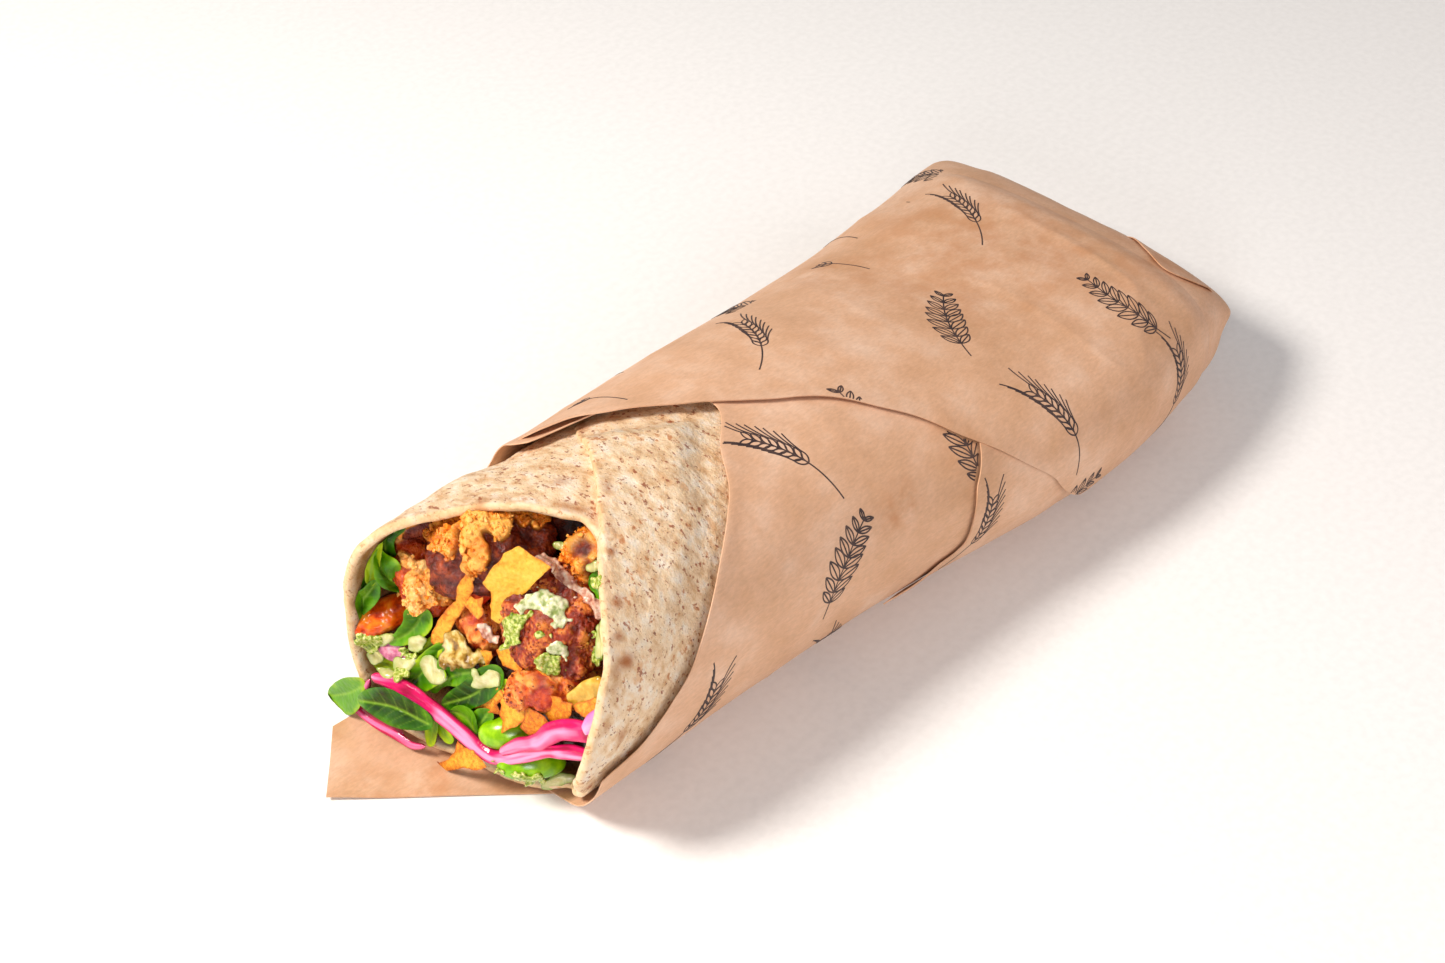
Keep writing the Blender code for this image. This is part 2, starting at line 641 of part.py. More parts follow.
def build_cabbage(bright, pale):
    """Pickled cabbage: a long strip along the lower edge, a thin one under it and a pale piece."""
    upper = [(-26.8, -12.0, 9), (-22.0, -13.6, 8), (-15.3, -17.5, 6.5), (-9.8, -21.8, 5), (-4.7, -26.4),
             (0.0, -28.7), (5.7, -26.8), (12.2, -24.8), (18.3, -25.2)]
    under = [(-26.4, -14.4, 7), (-28.9, -17.1, 7.5), (-25.6, -19.9, 7.5), (-20.3, -23.4, 8.5),
             (-14.2, -25.4, 7)]
    side = [(22.2, -16.7), (18.3, -24.0)]
    return [
        strip("cabbage_strip_long", route(upper, 4.0), 4.0, 1.9, FRONT, bright, cup_up=0.6, count=20,
              taper=0.4),
        strip("cabbage_strip_under", route(under), 2.4, 1.5, FRONT, bright, count=10, taper=0.5),
        strip("cabbage_pale", route(side, 2.6), 5.0, 2.0, FRONT, pale, cup_up=0.5, count=5),
    ]


def build_leaves(material):
    """Thin wavy salad leaves between the other pieces."""
    pieces = []

    def salad(name, width, points, curl, waves, count, across, seed):
        pieces.append(leaf("leaf_" + name, route(points), width, FRONT, material, curl, waves,
                           count, across, seed))

    salad("upper", 9.0, [(-22.4, 16.9, -2), (-24.4, 11.8, 0), (-27.2, 6.5, 1), (-29.5, 2.4, 0)],
          1.3, 1.5, 9, 4, 0.6)
    salad("side", 6.0, [(-21.6, -4.1, 2.5), (-17.5, -1.4, 2.5), (-14.0, 1.4, 2.5)], 0.7, 1.0, 7, 3, 1.6)
    salad("outer", 8.5, [(-35.0, -15.7, 5.5), (-30.1, -16.1, 6.5), (-22.0, -17.5, 6.5), (-13.8, -22.6, 5)],
          0.8, 1.5, 10, 4, 2.4)
    salad("middle", 8.5, [(-19.5, -14.2, 1.5), (-14.2, -10.0, 1.5), (-7.7, -6.1, 1.5)], 1.1, 1.2, 9, 4, 3.1)
    salad("right", 6.5, [(-11.0, -16.9, 2), (-4.9, -14.6, 2), (2.6, -11.0, 2)], 0.8, 1.3, 8, 4, 4.2)
    salad("low", 3.2, [(-13.4, -20.7, 2.5), (-13.0, -25.6, 2.5)], 0.4, 1.0, 5, 2, 5.0)
    salad("centre", 5.4, [(-6.9, -17.7, 1.5), (-3.3, -21.6, 1.5)], 0.6, 1.0, 6, 3, 5.5)
    salad("far_right", 4.4, [(19.7, 10.2, -9), (21.6, 3.3, -9)], 0.4, 1.0, 6, 3, 6.5)
    return pieces


def chunk(name, middle, sink, radii, slant, material, seed, **shape):
    """Lump sunk below the surface of the filling, its length turned by `slant` degrees as it is seen."""
    turn = math.radians(slant)
    along = VIEW_RIGHT * math.cos(turn) + VIEW_UP * math.sin(turn)
    return lump(name, seen(middle[0], middle[1], -sink), radii, along, material, seed, **shape)


def build_vegetables(mats):
    """Beans, roasted pepper, tomato, onion and pickle."""
    bean = mats["edamame"]
    onion = [(-25.2, -4.1, 1.5), (-22.0, -6.5, 1.5), (-18.7, -6.5, 1.5)]
    pickle = [(14.4, -16.7, 1), (22.0, -13.4, 1)]
    return [
        chunk("bean_upper", (2.6, -22.8), 1.5, (7.2, 3.6, 3.4), 4, bean, 11.0, crag=0.03, bend=1.0),
        chunk("bean_lower", (6.3, -29.3), 1.5, (7.0, 3.2, 3.2), 4, bean, 12.0, crag=0.03, bend=0.8),
        chunk("roasted_pepper", (-23.6, 1.0), 1.5, (6.8, 3.6, 2.8), 26, mats["roasted_pepper"], 13.0,
              crag=0.10, grain=5.0),
        chunk("tomato_lower", (7.3, -14.6), 2.0, (4.4, 3.6, 3.0), 10, mats["tomato"], 14.0,
              crag=0.08, cols=10, rows=6),
        chunk("tomato_upper", (-3.3, 5.9), 1.5, (3.4, 2.4, 2.4), 60, mats["tomato"], 15.0,
              crag=0.08, cols=8, rows=6),
        strip("red_onion", route(onion), 4.0, 1.4, FRONT, mats["red_onion"], cup_up=0.7),
        strip("pickle_slice", route(pickle), 5.4, 1.8, FRONT, mats["pickle"], cup_up=0.5, count=5),
    ]


def build_chicken(crumbed, glazed):
    """Chunks of chicken: crumbed ones at the top, darker glazed ones in the middle, right and below."""
    return [
        chunk("chicken_left", (-16.1, 10.4), 4.0, (9.6, 5.8, 6.4), 117, crumbed, 21.0,
              crag=0.22, grain=5.0, cols=14, rows=10),
        chunk("chicken_upper", (-1.2, 14.8), 8.0, (13.0, 10.6, 9.6), 12, crumbed, 22.0,
              crag=0.24, cols=16, rows=12),
        chunk("chicken_dark", (12.2, 0.4), 7.5, (12.4, 10.6, 9.0), -58, glazed, 23.0, cols=14, rows=10),
        chunk("chicken_low", (11.8, -13.4), 4.5, (10.4, 4.8, 5.6), 10, glazed, 24.0,
              crag=0.14, grain=5.0, rows=7),
        chunk("chicken_middle", (-1.6, -1.6), 4.0, (6.0, 5.4, 4.8), 60, glazed, 25.0,
              crag=0.16, grain=5.0, cols=10, rows=7),
        chunk("chicken_right", (17.9, 15.7), 17.0, (6.4, 5.0, 5.0), 20, glazed, 26.0,
              crag=0.16, grain=5.0, cols=10, rows=7),
        chunk("chicken_back", (-16.7, 20.3), 6.0, (5.5, 4.0, 4.4), 20, crumbed, 27.0,
              crag=0.2, grain=5.0, cols=10, rows=7),
    ]


def build_ground_clearance():
    """Cutter that keeps the pieces over the lip clear of the sheet on the floor."""
    depth = 9.0
    corners = np.array([(-50, -25, -depth), (-50, 50, -depth), (12, 50, -depth), (12, -25, -depth)])
    slab = closed_rings("ground_clearance", [corners, corners + (0, 0, depth + PAPER + GAP)], None)
    return as_cutter(slab)


def main():
    """Make every piece of the wrap, then cut each one clear of those that lie over it."""
    for obj in list(bpy.data.objects):
        bpy.data.objects.remove(obj)
    mats = {
        "kraft_paper": principled("kraft_paper", (219, 178, 150), 0.75),
        "flour_tortilla": principled("flour_tortilla", (237, 222, 200), 0.8),
        "filling": principled("filling", (92, 38, 26), 0.6),
        "crumbed_chicken": principled("crumbed_chicken", (224, 146, 60), 0.6),
        "glazed_chicken": principled("glazed_chicken", (128, 46, 24), 0.3),
        "corn_strip": principled("corn_strip", (233, 182, 70), 0.6),
        "salad_leaf": principled("salad_leaf", (72, 142, 34), 0.45),
        "pickled_cabbage": principled("pickled_cabbage", (224, 22, 120), 0.3),
        "pale_cabbage": principled("pale_cabbage", (246, 150, 200), 0.35),
        "edamame": principled("edamame", (124, 206, 36), 0.35),
        "roasted_pepper": principled("roasted_pepper", (222, 84, 26), 0.3),
        "tomato": principled("tomato", (222, 62, 26), 0.25),
        "red_onion": principled("red_onion", (204, 124, 148), 0.35),
        "pickle": principled("pickle", (202, 184, 92), 0.35),
    }
    build_paper(mats["kraft_paper"])
    build_tortilla("tortilla", mats["flour_tortilla"])
    wall = as_cutter(build_tortilla("tortilla_clearance", None, grow=GAP))
    ground = build_ground_clearance()
    pieces = build_corn_strips(mats["corn_strip"])
    pieces += build_cabbage(mats["pickled_cabbage"], mats["pale_cabbage"])
    pieces += build_leaves(mats["salad_leaf"])
    pieces += build_vegetables(mats)
    pieces += build_chicken(mats["crumbed_chicken"], mats["glazed_chicken"])
    placed = []
    for piece in pieces:
        if bounds(piece)[0][2] < (PAPER + GAP) * MM:
            combine(piece, [cutter_copy(ground)], 'DIFFERENCE')
        combine(piece, [cutter_copy(wall)], 'DIFFERENCE')
        keep_main_body(piece)
        clear(piece, placed)
        placed.append(piece)
    clear(build_core(mats["filling"]), placed)
    bpy.data.objects.remove(wall)
    bpy.data.objects.remove(ground)


main()
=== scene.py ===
"""Looks of a chicken wrap in kraft paper: paper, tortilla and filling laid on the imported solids."""
import math
import json

import bpy
import numpy as np
from mathutils import Matrix

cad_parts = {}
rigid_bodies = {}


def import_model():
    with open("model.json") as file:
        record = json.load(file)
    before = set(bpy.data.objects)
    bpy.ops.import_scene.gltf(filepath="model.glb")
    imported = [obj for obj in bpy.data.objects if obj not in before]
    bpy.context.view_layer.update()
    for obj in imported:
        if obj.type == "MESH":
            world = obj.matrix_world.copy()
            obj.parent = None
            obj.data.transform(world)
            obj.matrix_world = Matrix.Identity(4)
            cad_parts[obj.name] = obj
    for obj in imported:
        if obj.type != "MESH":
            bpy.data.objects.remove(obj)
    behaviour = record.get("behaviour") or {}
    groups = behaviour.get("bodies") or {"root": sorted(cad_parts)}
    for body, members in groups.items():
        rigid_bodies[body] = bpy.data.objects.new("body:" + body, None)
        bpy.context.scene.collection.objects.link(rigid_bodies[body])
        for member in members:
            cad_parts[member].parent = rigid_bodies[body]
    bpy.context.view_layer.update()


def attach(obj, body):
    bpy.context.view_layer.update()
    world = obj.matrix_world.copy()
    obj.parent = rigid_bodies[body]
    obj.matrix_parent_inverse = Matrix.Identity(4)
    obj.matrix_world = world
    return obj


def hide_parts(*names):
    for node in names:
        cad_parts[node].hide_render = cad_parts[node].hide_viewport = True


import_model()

bl_info = {
    "name": "Chicken wrap",
    "version": (1, 0, 0),
    "blender": (4, 5, 0),
    "location": "View3D > Sidebar > Wrap",
    "description": "Builds the paper, the tortilla and the filling of a chicken wrap round its solids",
    "category": "Add Mesh",
}

# Lengths are millimetres and angles are degrees until a mesh is made: 0 at the floor, 90 on the near side,
# 180 on top and 270 on the far side. +X runs along the roll from the open end to the folded end.
MM = 0.001
LAP = 0.9  # how much lower the sheet lies on the near side and the top than on the far side
FAR_TOP = (207, 232)  # angles over which it rises to its outermost layer, and sinks again
FAR_FLOOR = (320, 352)
CREASE_SIZE = 17.0  # folds of the crushed sheet: how far apart, and how high
CREASE_HEIGHT = 0.5
FLOOR_SAG = 2.0  # the oval reaches this far below the floor, and is cut off level with it
TORTILLA = 2.0  # thickness of the rolled tortilla
TORTILLA_DEPTH = 2.5  # its outside, within the outermost paper
TORTILLA_END = 17.0  # from its closed end to the folded end of the sheet
TORTILLA_NECK = (1.4, 145, 172)  # how much it narrows towards that end, and between which stations
BULGE = 1.4  # how far it swells where it lies bare
FLAP_STEP = 3.0  # depth at which it passes under its last flap
WALL_GAP = 0.2  # between its inside and the filling
SHEET_TOP = 0.95  # height of the filling over the sheet that lies on the floor

# Outside of the wrapped roll, at stations along it
STATIONS = [0, 30, 65, 100, 130, 155, 175, 190, 200]
HALF_WIDTHS = [34.5, 35.8, 38.5, 42.2, 45.5, 46.6, 46.4, 46.8, 48.5]
HEIGHTS = [65.5, 63.0, 58.5, 52.0, 45.8, 42.5, 39.5, 34.0, 26.0]
CENTRES = [0, -0.4, -0.7, -1.9, -2.6, -1.0, 2.0, 5.0, 8.0]
SQUARE_AT = [0, 100, 170, 200]
SQUARENESS = [2.1, 2.2, 2.6, 3.3]
LOWER_SQUARENESS_NEAR = [2.25, 2.3, 2.6, 3.3]
LOWER_SQUARENESS_FAR = [2.8, 2.4, 2.6, 3.3]

# Edges of the layers: angle round the roll, then distance along it
TORTILLA_RIM = [(0, -15.5), (20, -11.5), (30, -9), (44, -12), (60, -14.5), (72, -18), (80, -19), (92, -16.5),
                (109, -11.5), (124, -6.5), (142, -1), (151, 2.8), (161, 7.6), (168, 8.6), (175, 6.5),
                (185, 3.2), (198, -1.2), (207, -4.5), (213, -7.5), (220, -12), (229, -16.5), (239, -19.3),
                (252, -21), (270, -21.8), (290, -22), (305, -22.4), (320, -22), (340, -19), (360, -15.5)]
FLAP_EDGE = [(143, 0.4), (151, 3.9), (161, 8.6), (165, 10.6), (171, 13.2), (181, 18.8), (194, 24.8),
             (208, 28.8), (214, 31)]
PAPER_EDGE = [(0, -9), (22, -10), (50, -13), (73, -13.5), (78, -4.8), (86, 1.5), (96, 8.5), (107, 13.5),
              (127, 23.5), (140, 31.2), (150, 37), (163, 42.5), (180, 52.2), (193, 50), (205, 34), (215, 19),
              (222, 18), (232, 19.5), (245, 20), (262, 16), (285, 7), (310, -4), (335, -9), (360, -9)]
OUTER_FLAP_EDGE = [(52, 133), (68, 127), (78, 121), (94, 113), (105, 107), (117, 101), (130, 93.5),
                   (142, 87.8), (151, 81.5), (162, 73.5), (172, 60.5), (179, 52.5), (184, 46.5), (192, 39.8),
                   (200, 33.2), (208, 28.5), (213, 23.5), (217, 21), (229, 20.5)]
CREASE_EDGE = [(58, 70), (68, 77.8), (74, 82), (77, 85.8), (81, 88), (89, 89.2), (96, 90), (105, 91.2),
               (113, 93.8), (121, 96.2), (128, 98)]
FOLDED_END = [(0, 180), (40, 181), (70, 184), (90, 190.5), (110, 198), (128, 198), (150, 195.5), (180, 195),
              (205, 194.5), (230, 193), (250, 191), (290, 187), (325, 183), (360, 180)]
OUTER_FLAP_ANGLES = (52, 229)
OUTER_FLAP_BACK = 186
END_FOLD_EDGE = [(124, 195.5), (134, 189), (148, 184), (160, 188), (172, 195.5)]
END_FOLD_ANGLES = (124, 172)
END_FOLD_BACK = 196
CREASE_ANGLES = (58, 128)
CREASE_BACK = 126
FLAP_ANGLES = (143, 214)
FLAP_BACK = 66
# Loose tail of the sheet, as corners on the floor: its cut edge runs from the first to the last
TAIL = [(-42.1, 20.4), (-28.0, 35.0), (-13.0, 33.0), (4.0, 16.0), (9.0, -6.0), (-8.6, -13.6)]

# Grease that has soaked into the sheet, and toasted blisters of the tortilla: distance along the roll, angle,
# size and darkness
STAINS = ((69, 110, 5, 0.9), (74, 116, 4, 0.7), (92, 124, 6, 0.6), (150, 196, 20, 0.5), (172, 168, 20, 0.45),
          (128, 182, 14, 0.4), (190, 146, 12, 0.6), (118, 212, 8, 0.5))
BLISTERS = ((-4.1, 116, 1.7, 1.0), (-3.1, 125, 1.0, 0.7), (0.4, 136, 1.2, 0.8), (6.3, 152, 1.0, 0.7),
            (-8.8, 89, 1.5, 0.7), (13.3, 187, 1.6, 0.6), (-0.9, 201, 1.2, 0.5), (24.7, 222, 2.2, 0.6),
            (-6, 232, 1.8, 0.6), (8, 240, 1.6, 0.5), (31, 207, 1.4, 0.5))

# The open end is laid out as it is seen from in front of its near corner, on a plane that faces the eye
VIEW_TURN = math.radians(-47.68)
VIEW_TILT = math.radians(42)
VIEW_BACK = np.array([math.sin(VIEW_TURN) * math.cos(VIEW_TILT), -math.cos(VIEW_TURN) * math.cos(VIEW_TILT),
                      math.sin(VIEW_TILT)])
VIEW_RIGHT = np.array([math.cos(VIEW_TURN), math.sin(VIEW_TURN), 0.0])
VIEW_UP = np.cross(VIEW_BACK, VIEW_RIGHT)
VIEW_TARGET = np.array([60.4, 3.9, 30.0])
EYE_DISTANCE = 500
EYE = VIEW_TARGET + EYE_DISTANCE * VIEW_BACK
PLANE_DISTANCE = 467.5
PLANE_SHIFT = (-45.2, -28.2)
MAP_STEP = 0.25  # cells of the map of the filling on that plane
MAP_LOW = (-42.0, -38.0)
MAP_SIZE = (280, 270)

# Lamps of the stage: name, place (m), width (m), power (W) and colour
LAMPS = (("key", (-0.4, 0.27, 0.6), 0.22, 6.9, "FFF6EC"), ("front", (-0.5, -0.36, 0.34), 0.2, 1.3, "FFFFFF"),
         ("side", (0.35, -0.6, 0.4), 0.5, 1.2, "FFE9E4"))
SKY_STRENGTH = 0.31
SENSOR_WIDTH = 36.0
FOCAL_LENGTH = 57.3

# Pieces of filling are drawn as they are seen. An outline or midrib runs across, up, across, up in tenths of a mm.

# Chips of corn tortilla: outline, lift of the middle, tilt, bow and how brown it is fried
CHIPS = {
    "large": [((38, 151, 101, 108, 34, 40, -2, -7, -18, 3, -18, 59, -38, 75, 8, 134), 5, (-0.1, 0.25), 0.9, -0.04)],
    "long": [
        ((-71, 95, -57, 86, -54, 69, -63, 44, -115, -43, -132, -55, -139, -43, -136, -22, -117, 11, -90, 40, -88, 65),
         4, (-0.15, 0.2), 0.6, 0.1),
        ((-63, 52, -51, 42, -36, 46, -38, 27, -34, 15, -45, 3, -74, 36), 4.6, (0.1, -0.2), 0.4, 0.1)],
    "upright": [((26, -13, 52, -11, 62, -83, 51, -80, 40, -68), 4.6, (0.3, 0), 0.3, 0)],
    "slanting": [((-7, -61, 34, -43, 42, -68, 111, -124, 90, -124, 5, -91), 3.2, (0, 0.25), 0.5, 0.12)],
    "small": [((-41, -62, -18, -64, -18, -76, -26, -105, -43, -116), 3, (0.25, 0.1), 0.3, 0.14)],
    "low_a": [((-7, -148, 15, -155, 53, -178, 47, -201, 34, -213, 3, -229, 5, -205, -2, -192, 1, -172), 3.6,
        (0.2, -0.15), 0.5, 0.1)],
    "low_b": [((51, -174, 90, -197, 107, -221, 69, -242, 59, -234, 40, -217, 49, -201), 3.9, (-0.1, 0.15), 0.6, 0.2)],
    "low_c": [((84, -182, 90, -150, 123, -157, 124, -168, 146, -170, 144, -192, 117, -224), 2.9, (0.15, 0.2), 0.5,
        0.2)],
    "right": [((150, -172, 204, -156, 210, -174, 186, -211, 154, -182), 3.2, (-0.2, 0.1), 0.5, 0.12)],
    "left": [((-53, -176, -5, -138, 9, -149, -7, -172, 1, -190, -43, -183), 2.6, (0.1, 0.3), 0.4, 0.18)],
    "lip": [((-87, -244, -73, -259, -55, -265, -28, -298, -47, -307, -63, -300, -113, -305, -126, -293, -105, -284,
        -92, -267), 6.9, (0.1, -0.25), 0.7, 0.12)],
}

# Leaves: outline, midrib, lift of the middle, tilt, fold, wave and tone
LEAVES = {
    "upper": [
        ((-240, 175, -262, 136, -270, 91, -266, 74, -258, 79), (-241, 172, -258, 125, -266, 78), 2.9, (0.1, 0), 0.5,
         0.6, 0.4),
        ((-314, 46, -278, 54, -254, 81, -248, 59, -254, 39, -295, 4, -307, 12, -314, 31), (-253, 74, -278, 42,
         -301, 11), 2.4, (0.1, 0.25), 0.6, 1.2, 0.12),
        ((-313, 59, -303, 74, -273, 91, -266, 73, -277, 56, -313, 48), (-268, 85, -293, 65, -312, 52), 1.6,
         (0.2, 0.1), 0.2, 0.6, 0),
        ((-250, 142, -236, 129, -218, 121, -204, 104, -226, 88, -227, 75, -207, 67, -186, 69, -185, 59, -227, 66,
         -243, 78, -251, 91), (-249, 136, -238, 96, -190, 64), 2.2, (-0.3, 0.1), 0.5, 1.6, 0.15),
        ((-240, 176, -190, 194, -221, 168, -223, 148, -213, 121, -236, 128, -250, 138), (-207, 186, -236, 165,
         -230, 125), 0.9, (-0.2, 0.2), 0.3, 0.6, 0)],
    "side": [
        ((-225, -45, -207, -29, -190, -6, -190, 19, -167, 23, -146, 15, -143, -8, -153, -27, -196, -47), (-224, -45,
         -184, -24, -157, 13), 3.2, (-0.2, 0.2), 0.4, 0.7, 0.3),
        ((-265, -68, -238, -72, -217, -85, -218, -103, -241, -99, -260, -89), (-260, -72, -220, -97), 1, (0.1, 0.1),
         0.1, 0.4, 0.7),
        ((-175, -68, -151, -47, -128, -33, -124, -47, -151, -76, -171, -89), (-173, -80, -128, -39), 1, (0.1, 0.1),
         0.1, 0.4, 0.6)],
    "outer": [
        ((-351, -154, -331, -130, -306, -121, -274, -124, -299, -200), (-350, -154, -312, -149, -278, -134), 7.6,
         (0.1, -0.2), 0.35, 0.5, 0.25),
        ((-289, -163, -273, -147, -244, -141, -217, -149, -163, -182, -142, -201, -144, -219, -207, -215, -242, -197),
         (-287, -163, -225, -174, -146, -211), 9.4, (-0.12, -0.1), 0.3, 0.45, 0.02)],
    "middle": [
        ((-194, -132, -184, -107, -167, -85, -142, -60, -109, -47, -109, -64, -122, -101, -113, -114, -134, -130,
         -163, -143, -184, -143), (-190, -138, -155, -101, -112, -52), 2.2, (-0.1, 0.1), 0.4, 0.7, 0.3),
        ((-124, -80, -101, -78, -53, -99, -54, -120, -84, -132, -105, -124, -126, -134, -134, -145, -142, -134,
         -117, -114), (-130, -139, -92, -112, -54, -105), 2.6, (0.1, 0.3), 0.4, 1, 0.15),
        ((-121, -60, -101, -41, -80, -47, -72, -68, -84, -101, -97, -116, -121, -89), (-117, -51, -103, -80,
         -92, -112), 2, (0.2, 0.2), 0.3, 0.6, 0.7)],
    "right": [
        ((-117, -171, -101, -151, -59, -124, -43, -105, -22, -95, -2, -99, 3, -118, -3, -134, -22, -155, -43, -168,
         -68, -177, -97, -179), (-115, -170, -63, -155, 0, -112), 3, (-0.05, 0.3), 0.35, 0.4, 0.05),
        ((3, -126, 20, -128, 31, -147, 26, -160, 19, -155, 15, -143, 4, -135), (4, -130, 22, -139, 26, -158), 3.4,
         (0.3, 0), 0.3, 0.2, 0.5)],
    "low": [
        ((-140, -207, -130, -209, -139, -255, -146, -242, -148, -219), (-135, -209, -142, -251), 4.6, (0.2, 0), 0.3,
         0.3, 0.35),
        ((-124, -215, -111, -226, -99, -246, -107, -244, -119, -230), (-121, -217, -102, -245), 4.2, (0.2, 0), 0.2,
         0.2, 0.35)],
    "centre": [
        ((-101, -186, -80, -178, -57, -190, -49, -230, -63, -226), (-97, -186, -72, -197, -52, -227), 2.8, (0.2, 0.2),
         0.4, 0.5, 0.2),
        ((-53, -188, -24, -184, -18, -199, -32, -215, -50, -224), (-24, -188, -48, -221), 2.4, (-0.2, 0.1), 0.3, 0.5,
         0.35),
        ((-101, -168, -68, -178, -34, -172, -18, -192, -51, -197, -84, -188), (-99, -172, -22, -188), 1, (0, 0.2),
         0.3, 0.6, 0.1)],
    "far_right": [((186, 90, 204, 93, 215, 36, 204, 40, 200, 59, 186, 67), (188, 86, 213, 38), -6, (0.2, 0), 0.3, 0.4,
        0.1)],
}

# Golden crust on the chunks of chicken
CRUSTS = {
    "left": [
        (-213, 175, -190, 198, -171, 187, -161, 171, -155, 160, -171, 157, -190, 164, -204, 154, -211, 160),
        (-207, 139, -190, 146, -175, 127, -167, 106, -184, 102, -198, 119),
        (-190, 90, -171, 119, -155, 121, -124, 110, -117, 90, -92, 69, -96, 32, -117, 27, -142, 32, -167, 21,
         -190, 30, -187, 48, -192, 69)],
    "upper": [
        (-133, 222, -117, 230, -84, 227, -80, 239, -59, 248, -34, 247, 11, 247, 49, 244, 65, 222, 59, 195, 36, 187,
         24, 202, 7, 195, 15, 173, 3, 152, -5, 164, -22, 181, -45, 176, -22, 148, -22, 119, -45, 88, -63, 106,
         -80, 125, -74, 156, -63, 160, -68, 187, -84, 179, -78, 148, -92, 119, -117, 139, -142, 164, -128, 183,
         -134, 202),
        (67, 235, 101, 231, 98, 206, 82, 185, 65, 187, 65, 210)],
    "back": [(-225, 185, -175, 206, -167, 198, -200, 181, -225, 164)],
}

# Pools of sauce
POOLS = {
    "cream_dressing": [
        (-250, -35, -215, -27, -220, -43, -236, -49, -246, -50),
        (-271, -68, -251, -59, -238, -68, -240, -83, -254, -90, -267, -79),
        (-217, -75, -190, -79, -165, -75, -176, -93, -196, -107, -214, -107),
        (-252, -93, -212, -105, -220, -116, -242, -113),
        (-185, -35, -146, -33, -151, -47, -171, -63, -184, -58),
        (-161, -79, -146, -68, -111, -106, -111, -121, -125, -130, -144, -127, -161, -95),
        (-59, -99, -48, -101, -42, -120, -22, -99, -2, -98, 3, -116, -4, -131, -26, -137, -59, -135, -54, -120),
        (175, 114, 206, 118, 208, 107, 190, 98, 176, 102),
        (105, 153, 127, 158, 146, 143, 142, 135),
        (84, -334, 115, -313, 148, -314, 153, -324, 90, -346),
        (200, -6, 217, 6, 225, -14, 222, -47, 206, -74, 195, -76)],
    "browned_cream": [(-109, -39, -101, -24, -82, -22, -59, -68, -41, -62, -26, -76, -43, -91, -63, -99, -80, -80,
        -92, -103, -105, -89, -117, -99, -121, -80)],
    "thin_cream": [
        (27, 20, 48, 45, 74, 62, 105, 60, 136, 38, 142, 5, 135, -18, 113, -13, 100, 12, 74, 25, 48, 18, 34, -1),
        (90, -56, 111, -47, 140, -60, 136, -76, 111, -72)],
    "fried_batter_edge": [
        (65, 130, 90, 139, 127, 102, 208, 36, 213, 13, 198, 3, 186, 32, 127, 73, 86, 119),
        (-48, -6, -26, -11, -3, -39, -5, -52, -26, -43, -43, -27)],
    "herb_pesto": [
        (-292, -29, -275, -17, -247, -43, -249, -60, -263, -65, -279, -58, -290, -43),
        (-221, -114, -204, -101, -184, -107, -190, -124, -209, -125),
        (-198, -68, -182, -61, -176, -72, -187, -80),
        (-5, -6, 25, 15, 50, 12, 74, 20, 64, -1, 42, -15, 36, -41, 19, -54, 2, -51, 6, -26),
        (102, -71, 124, -77, 127, -101, 108, -109, 81, -96, 69, -79),
        (72, -24, 91, -20, 95, -34, 80, -41),
        (191, -22, 205, -34, 210, -65, 204, -98, 191, -101, 187, -73, 195, -49),
        (181, 86, 204, 96, 211, 69, 198, 65, 186, 69),
        (-22, -295, 24, -309, 90, -313, 82, -329, 57, -334, -5, -307)],
}


# ---- numbers and curves

def curve(at, xs, ys):
    """Smooth curve through named stations that never overshoots them; straight beyond the ends."""
    xs = np.asarray(xs, float)
    ys = np.asarray(ys, float)
    at = np.asarray(at, float)
    step = np.diff(xs)
    slope = np.diff(ys) / step
    same = slope[:-1] * slope[1:] > 0
    safe = np.where(same, slope[:-1] + slope[1:], 1.0)
    tangent = np.concatenate([slope[:1], np.where(same, 2 * slope[:-1] * slope[1:] / safe, 0.0), slope[-1:]])
    i = np.clip(np.searchsorted(xs, at) - 1, 0, len(xs) - 2)
    raw = (at - xs[i]) / step[i]
    t = np.clip(raw, 0, 1)
    value = (ys[i] * (1 + 2 * t) * (1 - t) ** 2 + tangent[i] * step[i] * t * (1 - t) ** 2
             + ys[i + 1] * t * t * (3 - 2 * t) + tangent[i + 1] * step[i] * t * t * (t - 1))
    beyond = (raw - t) * step[i]
    return value + beyond * np.where(raw < 0, tangent[i], tangent[i + 1])


def edge(angle, table):
    """Distance along the roll of a layer's edge at an angle."""
    return curve(angle, *np.transpose(table))


def rise(value, start, stop):
    """Soft step from 0 at start to 1 at stop."""
    t = np.clip((np.asarray(value, float) - start) / (stop - start), 0, 1)
    return t * t * (3 - 2 * t)


def lattice(cell, seed):
    """A number from 0 to 1 for each cell of a cubic lattice, scrambled from its three indices."""
    c = cell.astype(np.uint32)
    mixed = c[..., 0] * np.uint32(73856093) ^ c[..., 1] * np.uint32(19349663) ^ c[..., 2] * np.uint32(83492791)
    mixed = mixed ^ np.uint32(seed * 668265263 & 0xFFFFFFFF)
    mixed = (mixed ^ (mixed >> np.uint32(15))) * np.uint32(2246822519)
    mixed = (mixed ^ (mixed >> np.uint32(13))) * np.uint32(3266489917)
    return (mixed ^ (mixed >> np.uint32(16))) / 4294967295.0


# Steps from a lattice point to the corners of its cell, and from a cell to itself and its neighbours
CORNERS = np.array([(i & 1, i >> 1 & 1, i >> 2 & 1) for i in range(8)])
NEIGHBOURS = np.array([(i, j, k) for i in (-1, 0, 1) for j in (-1, 0, 1) for k in (-1, 0, 1)])


